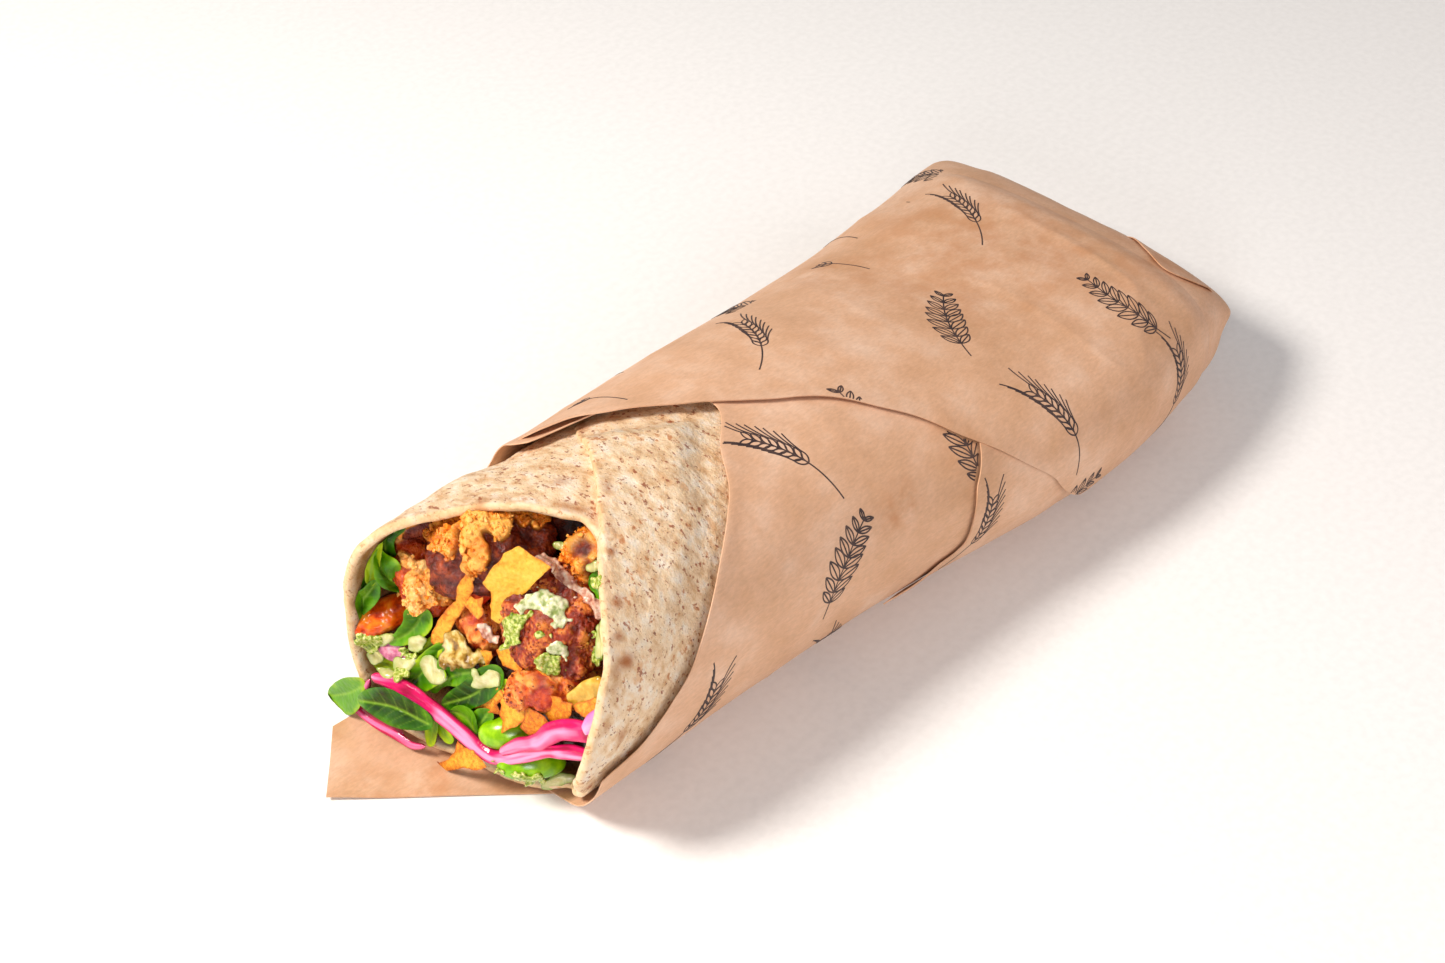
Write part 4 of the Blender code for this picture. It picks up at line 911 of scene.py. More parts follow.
def stains(x, angle):
    """Where grease has soaked in: blurred spots at named places along and round the sheet, 0.62 mm to a degree."""
    total = np.full(np.shape(x), 0.1)
    for at, turn, size, dark in STAINS:
        total = total + dark * np.exp(-((x - at) ** 2 + ((angle - turn) * 0.62) ** 2) / size ** 2)
    return np.clip(total, 0, 1)


# Rings of a closed end, as shares of the ring that it closes
CAP_RINGS = np.array([0.985, 0.96, 0.92, 0.86, 0.78, 0.68, 0.57, 0.45, 0.33, 0.21, 0.1, 0.03])[:, None]


def cup_grid(front, depth_at, wall, back, angles, out_rows, in_rows, lip_rows):
    """Rings of a cup from the middle of its closed end, along its outside, round its half-circle lip and back.

    Each closed end is its last ring shrunk towards the middle, swollen by a quarter of an ellipse 2.6 mm deep.
    """
    x_front = front + wall / 2
    outside = x_front + (back - x_front) * np.asarray(out_rows)[:, None]
    inner_back = back - wall
    inside = x_front + (inner_back - x_front) * np.asarray(in_rows)[:, None]
    turn = np.linspace(0, math.pi, lip_rows)[1:-1, None]
    lip_x = x_front - wall / 2 * np.sin(turn)
    round_angles = np.broadcast_to(angles, (1, len(angles)))
    body = []
    for x, inset in ((outside[::-1], 0.0), (lip_x, wall * (1 - np.cos(turn)) / 2), (inside, wall)):
        angle = np.broadcast_to(round_angles, x.shape)
        body.append(skin(x, angle, depth_at(x, angle) + inset))
    caps = []
    for ring in (body[0][0], body[2][-1]):
        middle = ring.mean(axis=0)
        middle[2] = ring[:, 2].max() * 0.5
        cap = middle + (ring - middle) * CAP_RINGS[..., None]
        cap[..., 0] = ring[:, 0] * CAP_RINGS + middle[0] * (1 - CAP_RINGS) + 2.6 * np.sqrt(1 - CAP_RINGS ** 2)
        caps.append(cap)
    return np.concatenate([caps[0][::-1], *body, caps[1]])


def folded_cap(grid, rows):
    """Fold lines of the sheet at its closed end: the sides are turned in first and the top is laid over them."""
    cap = grid[:rows]
    middle = cap[:1].mean(axis=(0, 1))
    y = cap[..., 1] - middle[1]
    z = cap[..., 2] - middle[2]
    side = np.abs(y) * 0.55 - np.abs(z)
    top = rise(z - np.abs(y) * 0.55, -0.6, 0.6)
    pleats = 0.35 * np.sin(np.arctan2(z, y) * 9 + 2.0 * noise(cap, 9.0, 51)) * rise(np.hypot(y, z), 6, 16)
    out = 0.9 * top + 0.5 * rise(side, -0.5, 0.5) + pleats * 0.5 + 0.35 * noise(cap, 8.0, 52, 2)
    fade = 1 - rise(np.arange(rows), rows - 3, rows - 1)[:, None]
    grid[:rows, :, 0] += out * fade
    return grid


def lap_shell(depth_at, table, limits, back, thick, cols, rows):
    """A thin layer over part of the roll, from its edge in a table to `back`, and `thick` through."""
    angles = even_angles(cols, *limits)
    front = edge(angles, table)
    x = front + (back - front) * np.linspace(0, 1, rows)[:, None] ** 1.3
    angle = np.broadcast_to(angles, x.shape)
    depth = depth_at(x, angle)
    return shell(skin(x, angle, depth), skin(x, angle, depth + thick), stain=stains(x, angle))


def paper_tail():
    """Loose tail of the sheet on the floor: a surface ruled between its cut edge and the edge under the roll.

    It curls up by up to 0.9 mm at its free corner, along its cut edge and in soft waves.
    """
    cut = smooth_path([(*TAIL[0], 0.0), (*TAIL[5], 0.0)], 90)
    under = smooth_path([(*corner, 0.0) for corner in TAIL[1:5]], 90)
    t = np.linspace(0, 1, 70)[:, None, None]
    low = cut * (1 - t) + under * t
    free = np.hypot(low[..., 0] - TAIL[0][0], low[..., 1] - TAIL[0][1])
    curl = 0.9 * np.exp(-(free / 9.0) ** 2) + 0.3 * np.exp(-(t[..., 0] / 0.06) ** 2)
    low[..., 2] = 0.02 + np.clip(curl + 0.25 * noise(low, 14.0, 61), 0, 2) * (1 - rise(t[..., 0], 0.3, 0.6))
    stain = np.clip(0.6 + 0.7 * noise(low, 9.0, 62, 2), 0, 1)
    return shell(low + (0.0, 0.0, 0.28), low, stain=stain)


def build_paper(colours, sizes):
    """The sheet in five pieces: round the roll, outer flap, creased lap, end fold and loose tail."""
    thick = sizes.sheet / MM
    material = kraft_material(colours)
    angles = even_angles(237)[:-1]
    body = cup_grid(edge(angles, PAPER_EDGE), sheet_depth, thick, edge(angles, FOLDED_END), angles,
                    np.linspace(0, 1, 200) ** 0.97, np.linspace(0, 1, 60) ** 1.8, 7)
    body = folded_cap(body, len(CAP_RINGS))
    stain = stains(body[..., 0], np.broadcast_to(angles, body.shape[:2]))
    bodies = {
        "paper_sheet": rings(body, stain=stain),
        "paper_outer_flap": lap_shell(outer_flap_depth, OUTER_FLAP_EDGE, OUTER_FLAP_ANGLES, OUTER_FLAP_BACK,
                                      thick, 200, 150),
        "paper_creased_lap": lap_shell(crease_depth, CREASE_EDGE, CREASE_ANGLES, CREASE_BACK, thick, 90, 60),
        "paper_end_fold": lap_shell(end_fold_depth, END_FOLD_EDGE, END_FOLD_ANGLES, END_FOLD_BACK, thick, 60, 24),
        "paper_tail": paper_tail(),
    }
    for name, made in bodies.items():
        new_piece(name, [made], material, "kraft_paper", "paper_wrapper", sharp=50)


# ---- print

def arcs(starts, bends, ends, count=9):
    """Curved lines as points: each runs from its start to its end by way of a control point between them."""
    t = np.linspace(0, 1, count)[:, None]
    starts, bends, ends = [np.asarray(v, float)[:, None, :] for v in (starts, bends, ends)]
    return starts * (1 - t) ** 2 + 2 * bends * t * (1 - t) + ends * t * t


def sprig(wheat):
    """Line drawing about 25 mm long: a bent stem with eight pairs of leaves, or of grains with long fine awns.

    A leaf or grain is two arcs from its root to its tip. A leaf has a midrib, and a grain an awn beyond its tip.
    """
    start, bend, stop = ((-14, 2), (-3, -3), (8, 0)) if wheat else ((-12, -3), (-1, 4), (12, 2))
    stem = arcs([start], [bend], [stop], 60)[0]
    at = np.linspace(*((26, 58) if wheat else (10, 57)), 8).astype(int)
    root = np.repeat(stem[at], 2, axis=0)
    along = unit(np.gradient(stem, axis=0))[np.repeat(at, 2)]
    out = np.stack([-along[:, 1], along[:, 0]], axis=1) * np.tile([1.0, -1.0], 8)[:, None]
    length = np.repeat(np.full(8, 2.6) if wheat else np.array([4.2, 5.0, 5.4, 5.2, 4.8, 4.2, 3.4, 2.4]), 2)[:, None]
    tip = root + length * (along + 0.65 * out if wheat else 0.75 * along + 0.8 * out)
    broad = unit(np.stack([-(tip - root)[:, 1], (tip - root)[:, 0]], axis=1)) * length * (0.48 if wheat else 0.42)
    middle = (root + tip) / 2
    if wheat:
        inner = arcs(tip, tip + along * 2.6 + out * 0.3, tip + along * 5.2 + out * 1.6)
    else:
        inner = arcs(root, middle, tip)
    stem_lines = np.stack([stem[k:k + 16:2][:8] for k in (0, 14, 28, 42)])
    stem_lines = np.concatenate([stem_lines, stem[[15, 29, 43, 59]][:, None]], axis=1)
    return np.concatenate([arcs(root, middle + broad, tip), arcs(root, middle - broad, tip), inner, stem_lines])


def on_layer(layer, x, angle):
    """Depth of a layer's outside, and where it is the layer that shows, 0.25 mm or more from its own edge."""
    past_flap = x - edge(angle, OUTER_FLAP_EDGE)
    past_crease = x - edge(angle, CREASE_EDGE)
    outer = (angle > OUTER_FLAP_ANGLES[0] + 2) & (angle < OUTER_FLAP_ANGLES[1] - 6) & (past_flap > 0)
    crease = (angle > CREASE_ANGLES[0]) & (angle < CREASE_ANGLES[1]) & (past_crease > 0) & (x < CREASE_BACK)
    inside = (x < edge(angle, FOLDED_END) - 0.5) & (np.cos(np.radians(angle)) < 0.85)
    if layer == "outer_flap":
        depth = np.minimum(outer_flap_depth(x, angle), sheet_depth(x, angle))
        return depth, outer & inside & (past_flap > 0.25)
    if layer == "creased_lap":
        return crease_depth(x, angle), crease & ~outer & (past_crease > 0.25)
    return sheet_depth(x, angle), inside & ~outer & ~crease & (x > edge(angle, PAPER_EDGE) + 0.25)


def printed_lines(layer, places, width):
    """Ink lines of motifs on one layer: raised threads, three-sided, one short prism to each step of a line.

    Each prism is `height` mm high and overlaps the next one a little.
    """
    height, overlap = 0.09, 0.04
    kinds = (sprig(False), sprig(True))
    bodies = []
    fine = np.linspace(-20, 380, 1601)
    for x0, angle0, turn, kind, grow in places:
        reach = reach_along(skin(np.full(fine.shape, float(x0)), fine, 0.5))
        middle = np.interp(angle0, fine, reach)
        lines = kinds[kind] * grow
        cos, sin = math.cos(math.radians(turn)), math.sin(math.radians(turn))
        x = x0 + lines[..., 0] * cos - lines[..., 1] * sin
        angle = np.interp(middle + lines[..., 0] * sin + lines[..., 1] * cos, reach, fine)
        depth, shows = on_layer(layer, x, angle)
        surface = skin(x, angle, depth)
        out = unit(skin(x, angle, depth - 1.0) - surface)
        start, stop = surface[:, :-1], surface[:, 1:]
        keep = (shows[:, :-1] & shows[:, 1:]).ravel()
        step = unit(stop - start)
        side = np.cross(step, out[:, :-1]) * width / 2
        start, stop = start - step * overlap, stop + step * overlap
        corners = [start - side, start + side, start + out[:, :-1] * height, stop - side, stop + side,
                   stop + out[:, 1:] * height]
        prism = np.stack([c.reshape(-1, 3)[keep] for c in corners], axis=1)
        base = np.arange(len(prism))[:, None, None] * 6
        pattern = np.array([(0, 1, 4, 3), (1, 2, 5, 4), (2, 0, 3, 5), (0, 2, 1, 1), (3, 4, 5, 5)])
        if len(prism):
            points = prism.reshape(-1, 3)
            bodies.append((points, outward(points, (base + pattern).reshape(-1, 4)), {}))
    return bodies


def build_print(colours, sizes):
    """Sprigs of leaves and ears of wheat in a staggered layout of its own on each layer of the sheet."""
    material = ink_material(colours)
    layers = {"sheet": sprig_places(sizes.sprigs / MM, 12, 20, 0), "creased_lap": [(92, 84, 62, 1, 0.9)],
              "outer_flap": sprig_places(sizes.sprigs / MM, 36, 14, 1)}
    for layer, places in layers.items():
        new_piece("print_" + layer, printed_lines(layer, places, sizes.line / MM), material, "kraft_paper", sharp=60)


def sprig_places(spacing, first, turned, odd):
    """A staggered grid of motifs: every other row is moved half a step and turned the other way."""
    places = []
    for row, x in enumerate(np.arange(first, 190, spacing)):
        for col in range(7):
            angle = (turned + (col + 0.5 * (row % 2)) * 52) % 360
            kind = (row + col + odd) % 2
            tilt = (28, -34, 12, -18)[(row * 2 + col) % 4] + (90 if kind else 60)
            if x > 20 or angle < 180:
                places.append((float(x), float(angle), float(tilt), kind, 1.0))
    return places


# ---- tortilla

def dough_bumps(points):
    """Surface of the griddled dough: low swells 7 and 3.5 mm apart, and bumps 2.6 and 1.3 mm apart."""
    return 0.3 * noise(points, 7.0, 71, 2) + 0.18 * noise(points, 2.6, 72, 2)


def toasted(x, angle, points, free):
    """Toasted spots, 0 to 1: blisters at named places, 0.56 mm to a degree, and patches 2.4 mm behind the rim."""
    total = 0.75 * np.exp(-((free - 2.4) / 1.6) ** 2) * np.clip(1.7 * noise(points, 3.4, 73, 2), 0, 1)
    for at, turn, size, dark in BLISTERS:
        distance = np.hypot(x - at, (angle - turn) * 0.56) / size + 0.35 * noise(points, 1.6, 74)
        total = total + dark * np.exp(-distance ** 2)
    return np.clip(total, 0, 1)


def build_tortilla(colours, sizes):
    """Rolled tortilla with a round, uneven rim, and the last flap over the top, its edges rounded off."""
    angles = even_angles(341)[:-1]
    wobble = sizes.rim / MM
    ring_points = skin(edge(angles, TORTILLA_RIM), angles, 3.0)
    front = edge(angles, TORTILLA_RIM) + wobble * noise(ring_points, 4.0, 75, 3)
    out_rows = np.concatenate([np.linspace(0, 0.42, 120), np.linspace(0.42, 1, 16)[1:]])
    in_rows = np.concatenate([np.linspace(0, 0.2, 30), np.linspace(0.2, 1, 10)[1:]])
    lip_rows = 13

    def outside(x, angle):
        points = skin(x, angle, 2.0)
        return tortilla_depth(x, angle) - dough_bumps(points) * rise(angle, 8, 30) * (1 - rise(angle, 330, 352))

    body = cup_grid(front, outside, TORTILLA, edge(angles, FOLDED_END) - TORTILLA_END, angles, out_rows, in_rows,
                    lip_rows)
    free = np.clip(body[..., 0] - front, 0, None)
    inner = (np.arange(len(body)) > len(CAP_RINGS) + len(out_rows) + lip_rows // 2)[:, None]
    rim = np.exp(-(free / 0.8) ** 2) * 0.5
    cloud = noise(body, 3.0, 77, 2)
    # Inside the roll a sauce stain, darkening up to 3 mm behind the rim as painted shade
    soaked = inner * np.clip(rise(free, 0.4, 3.0) * 0.9 + 0.8 * cloud * rise(free, 0.2, 1.5), 0, 0.95)
    toast = toasted(body[..., 0], angles[None], body, free) * (1 - inner)
    first = rings(body, rim=rim, soaked=soaked, toast=toast)

    flap_angles = even_angles(130, *FLAP_ANGLES)
    flap_front = edge(flap_angles, FLAP_EDGE)
    flap_front = flap_front + wobble * noise(skin(flap_front, flap_angles, 1.0), 4.0, 76, 2)
    x = flap_front + (FLAP_BACK - flap_front) * np.linspace(0, 1, 90)[:, None] ** 1.3
    angle = np.broadcast_to(flap_angles, x.shape)
    points = skin(x, angle, 1.0)
    root = 1 - rise(angle, FLAP_ANGLES[0], 152)
    sides = np.minimum((angle - FLAP_ANGLES[0]) * 0.6, (FLAP_ANGLES[1] - angle) * 0.6)
    near = np.minimum(x - flap_front, np.where(angle > 190, sides, 9.0))
    rounding = 0.85 * (1 - np.sqrt(1 - (1 - np.clip(near / 1.1, 0, 1)) ** 2))
    top = flap_depth(x, angle) + 0.5 * root + 0.5 * rise(x, FLAP_BACK - 10, FLAP_BACK) + rounding
    top = top - dough_bumps(points) * (1 - root)
    under = FLAP_STEP + 0.4 * TORTILLA - 0.4 * root - 0.3 * rise(x, FLAP_BACK - 8, FLAP_BACK)
    grid = skin(x, angle, top)
    second = shell(grid, skin(x, angle, under), rim=np.exp(-(near / 0.7) ** 2) * 0.4, soaked=0 * x,
                   toast=toasted(x, angle, grid, x - flap_front))
    new_piece("tortilla_roll", [first, second], tortilla_material(colours), "flour_tortilla", "tortilla", sharp=70)


# ---- filling

def push(grid, amount):
    """Move the points of a grid of closed rings along its normals; positive is away from its middle."""
    wrapped = np.concatenate([grid[:, -1:], grid, grid[:, :1]], axis=1)
    normal = unit(np.cross(np.gradient(grid, axis=0), wrapped[:, 2:] - wrapped[:, :-2]))
    outwards = np.einsum("ijk,ijk->", normal, grid - grid.mean(axis=(0, 1)))
    return grid + normal * np.sign(outwards) * np.asarray(amount)[..., None]


def ball(middle, sink, radii, slant, seed, step, crag, grain, bend=0.0):
    """Uneven ball below the surface of the filling, stretched to `radii` and turned by `slant` as it is seen.

    Noise `grain` mm apart moves it in and out by `crag` of its size, and its ends droop by `bend` mm.
    """
    turn = math.radians(slant)
    along = VIEW_RIGHT * math.cos(turn) + VIEW_UP * math.sin(turn)
    across = unit(np.cross(VIEW_BACK, along))
    axes = np.array([along, across, np.cross(along, across)])
    radii = np.asarray(radii, float)
    rows = int(math.pi * radii.max() / step)
    cols = int(2 * math.pi * radii[1:].max() / step)
    v = np.linspace(0.02, math.pi - 0.02, rows)[:, None]
    u = np.linspace(0, 2 * math.pi, cols, endpoint=False)
    local = points_at(-np.cos(v), np.sin(v) * np.cos(u), np.sin(v) * np.sin(u))
    body = np.sign(local) * np.abs(local) ** 0.92 * radii
    body = body * (1 + crag * 1.5 * noise(body + seed * 7.3, grain, seed, 2))[..., None]
    body[..., 2] -= bend * (body[..., 0] / radii[0]) ** 2
    return seen(middle[0], middle[1], -sink) + body @ axes


def crusted(grid, seed, outlines, thick, coarse, cover):
    """Crust on a chunk, inside outlines as it is seen or else in patches: clumps and, on them, crumbs.

    Out along the normal go `thick` times the clumps (domes 1.9 times `coarse` apart) and the crumbs (domes of
    three smaller sizes); between the patches the meat is ridged by noise folded about zero.
    """
    if outlines:
        across, up, _ = as_seen(grid)
        depth = np.max([inside_by(across, up, rounded(outline(corners), 1)) for corners in outlines], axis=0)
        crust = rise(depth + 0.9 * noise(grid, 2.6, seed + 1, 2), -0.25, 0.3)
    else:
        crust = rise(noise(grid + seed, 4.0, seed + 1, 2) + cover, -0.15, 0.2)
    stirred = grid + 0.8 * np.stack([noise(grid, 2.2, seed + k) for k in (6, 7, 8)], axis=-1)
    clumps = domes(stirred, coarse * 1.9, seed + 2)
    crumbs = sum(share * domes(stirred, coarse * size, seed + 3 + k)
                 for k, (share, size) in enumerate(((0.5, 0.75), (0.32, 0.42), (0.18, 0.24))))
    ridge = 1 - np.abs(noise(grid, 3.0, seed + 5, 3))
    meat = 1.3 * (ridge - 0.75) + 0.6 * crumbs
    amount = crust * (thick * (0.05 + 0.95 * clumps) + 0.6 * coarse * crumbs) + (1 - crust) * meat
    # grain, the height of clumps and crumbs, makes the crust paler on top and darker in its cracks: painted light and
    # shade
    grain = np.clip(0.5 * clumps + 1.1 * crumbs - 0.05, 0, 1)
    return rings(kept_inside(push(grid, amount)), crust=crust, grain=grain)


def build_chicken(colours, sizes):
    """Chunks of chicken: crumbed ones at the top, darker glazed ones in the middle, right and below.

    Each row holds a ball's middle, sink, radii, slant, seed, step, crag and grain, then its crust's thickness,
    coarseness and cover.
    """
    # The left chunk's crust is painted paler than the golden crust: painted light where the tortilla shades it
    pale = chicken_material("battered_fried_chicken_painted_light", (
        (0.08, "8A2C06"), (0.3, "D4690F"), (0.54, "F29C38"), (0.88, "FDCA7C")), ("84200A", "C03E0C", "E06A1E"), 0.13)
    golden = chicken_material("breaded_fried_chicken", (
        (0.08, "561803"), (0.32, "B64C06"), (0.56, "E6821A"), (0.9, "FBB450")), ("3A0C06", "6E1E0C", "B04A18"), 0.16)
    browned = chicken_material("glazed_fried_chicken", (
        (0.12, "2A0503"), (0.38, "70180A"), (0.66, "AC3818"), (0.95, "E48436")), ("42100A", "7C1E10", "A83A22"), 0.09)
    saucy = chicken_material("sauced_fried_chicken", (
        (0.1, "5A1404"), (0.34, "AC340A"), (0.58, "E06A1C"), (0.9, "FAAA52")), ("761406", "B82C08", "E2601A"), 0.08)
    chunks = (
        ("left", pale, (-16.1, 10.4), 4.0, (9.8, 5.4, 6.2), 117, 21, 0.22, 0.05, 6.0, 1.5, 2.2, 0.0),
        ("upper", golden, (-1.2, 14.8), 8.0, (12.6, 10.0, 9.4), 12, 22, 0.21, 0.14, 6.0, 2.6, 2.6, 0.0),
        ("back", golden, (-16.7, 20.3), 6.0, (5.5, 4.0, 4.4), 20, 27, 0.32, 0.12, 5.0, 0.9, 1.8, 0.0),
        ("dark", browned, (12.2, 0.4), 7.5, (12.2, 10.4, 8.8), -58, 23, 0.24, 0.12, 4.5, 0.75, 1.2, 0.2),
        ("low", saucy, (11.8, -13.0), 3.8, (9.6, 4.6, 5.0), 12, 24, 0.32, 0.12, 4.0, 0.9, 1.6, 0.1),
        ("middle", saucy, (-3.4, -0.4), 3.6, (6.4, 4.2, 4.6), 118, 25, 0.32, 0.14, 4.0, 0.9, 1.6, 0.2),
        ("right", golden, (19.6, 13.7), 13.0, (5.4, 4.0, 4.6), 15, 26, 0.32, 0.2, 4.0, 1.2, 2.0, 0.0),
    )
    for name, material, middle, sink, radii, slant, seed, step, crag, grain, thick, coarse, cover in chunks:
        chunk = ball(middle, sink, radii, slant, seed, step, crag, grain)
        body = crusted(chunk, seed, CRUSTS.get(name), thick, coarse, cover)
        slot = "crumbed_chicken" if name in CRUSTS else "glazed_chicken"
        new_piece(f"chicken_{name}_piece", [body], material, slot, "chicken_" + name)


def build_core(colours, sizes):
    """Filling through the roll: rings along it, and an uneven face, near black as painted shade, behind the pieces that
    show.
    """
    angles = even_angles(161)[:-1]
    depth = TORTILLA_DEPTH + TORTILLA + 1.12
    start = edge(angles, TORTILLA_RIM) + 6
    shape = skin(start, angles, depth)
    front = np.maximum(mouth(shape[:, 1], shape[:, 2]) + 9, start)
    back = edge(angles, FOLDED_END) - TORTILLA_END - 5
    t = np.linspace(0, 1, 50)[:, None] ** 1.6
    side = skin(front + (back - front) * t, angles, depth + 2.0 * rise(t, 0.6, 0.85))
    first = side[0]
    middle = first.mean(axis=0)
    shrink = np.linspace(0.02, 0.97, 56)[:, None, None]
    face = middle + (first - middle) * shrink
    face[..., 0] = mouth(face[..., 1], face[..., 2]) + 11.5
    face[..., 0] = np.where(shrink[..., 0] > 0.86, np.maximum(face[..., 0], first[:, 0] - 1.0), face[..., 0])
    face[..., 0] -= 3.0 * domes(face, 8.0, 81) + 1.0 * domes(face, 3.0, 82) - 1.5
    tail = side[-1].mean(axis=0) + (side[-1] - side[-1].mean(axis=0)) * np.linspace(0.8, 0.1, 6)[:, None, None]
    # Near-black browns: painted shade for the deep gaps between the pieces of filling
    ramp = ((0.35, "140605"), (0.55, "36100A"), (0.72, "6A2C14"))
    material = moist_material("dark_filling_painted_shade", ramp, 5.0, 0.22, 0.05, 0.6)
    new_piece("filling_inside", [rings(np.concatenate([face, side, tail]))], material, "filling", "filling_core")


def chip(corners, base, tilt, bow, brown, seed):
    """Piece of fried tortilla inside an outline: flat and tilted, bowed by `bow` mm, its faces blistered.

    Its edges are torn by noise, and thinner and darker than its middle, which is 0.8 mm thick.
    """
    corners = outline(corners)
    across, up, depth, keep = outline_grid(corners, 0.22, seed, ragged=0.35, soft=0, grow=0.12)
    middle = corners.mean(axis=0)
    size = np.ptp(corners, axis=0).max() / 2
    spots = points_at(across, up, seed * 3.0)
    bend = bow * (1 - ((across - middle[0]) / size) ** 2 - ((up - middle[1]) / size) ** 2 * 0.5)
    lift = tilted(across, up, corners, base, tilt) + bend + 0.3 * noise(spots, 2.4, seed + 2, 2)
    grit = 0.16 * noise(spots, 0.7, seed + 3, 2)
    body = 0.4 * np.sqrt(np.clip(0.5 + depth / 0.3, 0, 1))
    top = seen(across, up, lift + body + grit)
    under = seen(across, up, lift - body)
    return masked_shell(kept_inside(top), kept_inside(under), keep, edge=brown + 0.25 * np.exp(-depth / 0.3))


def build_corn(colours, sizes):
    """Fried pieces of corn tortilla, some upright in the filling and some lying along its lower edge."""
    material = corn_material(colours)
    for place, (name, parts) in enumerate(CHIPS.items()):
        bodies = [chip(*part, 100 + 7 * place + k) for k, part in enumerate(parts)]
        new_piece("corn_" + name, bodies, material, "corn_strip", "corn_strip_" + name, sharp=50)


def shred(points, widths, thick, seed):
    """Strip of cabbage carried along a path of (across, up, lift) points over the filling.

    It is a lens across, ridged lengthwise and tapered at its ends. `middle`, which colours it, is 0 on its cut
    edges and rises in uneven streaks along its two faces, partly the cabbage's own pale streaks and partly a
    painted highlight on the broad faces.
    """
    step = 0.25
    points = seen(*np.array(points, float).T)
    reach = reach_along(points)
    length = reach[-1]
    count = max(int(length / step), 10)
    path = smooth_path(points, count)
    side, out = frames(path)
    s = np.linspace(0, 1, count)[:, None]
    half = curve(s[:, 0] * length, reach, widths)[:, None] / 2
    turn = np.linspace(0, 2 * math.pi, max(int(2.8 * max(widths) / step), 20), endpoint=False)[None, :]
    cos, sin = np.cos(turn), np.sin(turn)
    ridges = 0.2 * noise(points_at(s * length / 9, cos * 2.4, np.sign(sin) * 3.0 + seed), 0.8, seed, 2)
    swell = 1 + 0.14 * noise(points_at(s * length, np.sign(cos) * 9, seed), 3.5, seed)
    ends = np.clip(np.minimum(s, 1 - s) * length / 1.2, 0, 1) ** 0.5
    wide = half * swell * ends
    twist = 0.35 * noise(points_at(s * length, 5.0, seed), 7.0, seed + 1)
    deep = (thick / 2 * np.abs(sin) ** 0.8 + ridges * np.abs(sin)) * ends
    grid = (path[:, None] + side[:, None] * (wide * cos)[..., None]
            + out[:, None] * (deep * np.sign(sin) + twist * wide * cos)[..., None])
    streak = noise(points_at(s * length / 11, cos * 1.7, seed + 3.0), 0.9, seed + 2, 2)
    mottle = 0.12 * noise(points_at(s * length, cos, seed), 2.2, seed)
    # Pale streaks of the cabbage's own, strongest on its broad faces as a painted highlight
    middle = np.clip(np.abs(sin) * (0.62 + 0.9 * streak) + mottle, 0, 1)
    return rings(kept_inside(grid), middle=middle)


def build_cabbage(colours, sizes):
    """Pickled cabbage: a long strip along the lower edge with a folded right end, a thin one and a pale piece."""
    bright = pickled_material("pickled_red_cabbage", "A00A3E", (colours.cabbage, "F894BE"))
    # A darker copy of the cabbage, for the thin strip that lies under the long one
    deep = pickled_material("darker_pickled_cabbage", "7E0A30", ("C41450", "EE76A6"))
    pale = pickled_material("pale_pickled_cabbage", "E05AA0", ("F48CC8", "FCD4E8"))
    upper = ((-26.2, -11.4, 9), (-22.5, -12.4, 8.6), (-18.4, -14.6, 7.9), (-14.2, -17.6, 7.2), (-10.1, -20.9, 6.6),
             (-5.9, -24.6, 5.8), (-2.2, -27.5, 5), (0.7, -28, 4.6), (5.7, -27.3, 4.4), (9.8, -26.7, 4.4),
             (14.8, -26.9, 4.4), (19.8, -27.8, 4.2))
    folded = ((-0.1, -26.7, 4.9), (3.6, -25.5, 5.2), (7.8, -24.6, 5.4), (10.3, -23, 5.2), (13.6, -22.4, 5),
              (16.9, -22.6, 4.8), (20.2, -23.4, 4.6))
    under = ((-26.5, -12, 7), (-27.7, -15.1, 7.2), (-29.2, -17.9, 7.5), (-25.4, -21, 7.5), (-21.3, -23.2, 8.2),
             (-18.4, -25.1, 8.2), (-15.1, -25.7, 7.4))
    side = ((22.5, -18, 3.4), (20.2, -21.1, 4), (17.9, -23.9, 5))
    strips = (("cabbage_long", "cabbage_strip_long", "pickled_cabbage", bright,
               [shred(upper, (2.2, 3.0, 3.6, 3.9, 3.8, 3.6, 3.3, 3.0, 3.0, 3.0, 3.0, 2.4), 1.7, 211),
                shred(folded, (1.6, 3.0, 3.8, 4.2, 4.4, 4.2, 3.4), 1.6, 214)]),
              ("cabbage_under", "cabbage_strip_under", "pickled_cabbage", deep,
               [shred(under, (1.2, 1.6, 1.5, 1.7, 2.0, 2.0, 1.0), 1.1, 212)]),
              ("cabbage_pale_piece", "cabbage_pale", "pale_cabbage", pale,
               [shred(side, (3.0, 5.6, 4.0), 1.9, 213)]))
    for name, node, slot, material, bodies in strips:
        new_piece(name, bodies, material, slot, node)


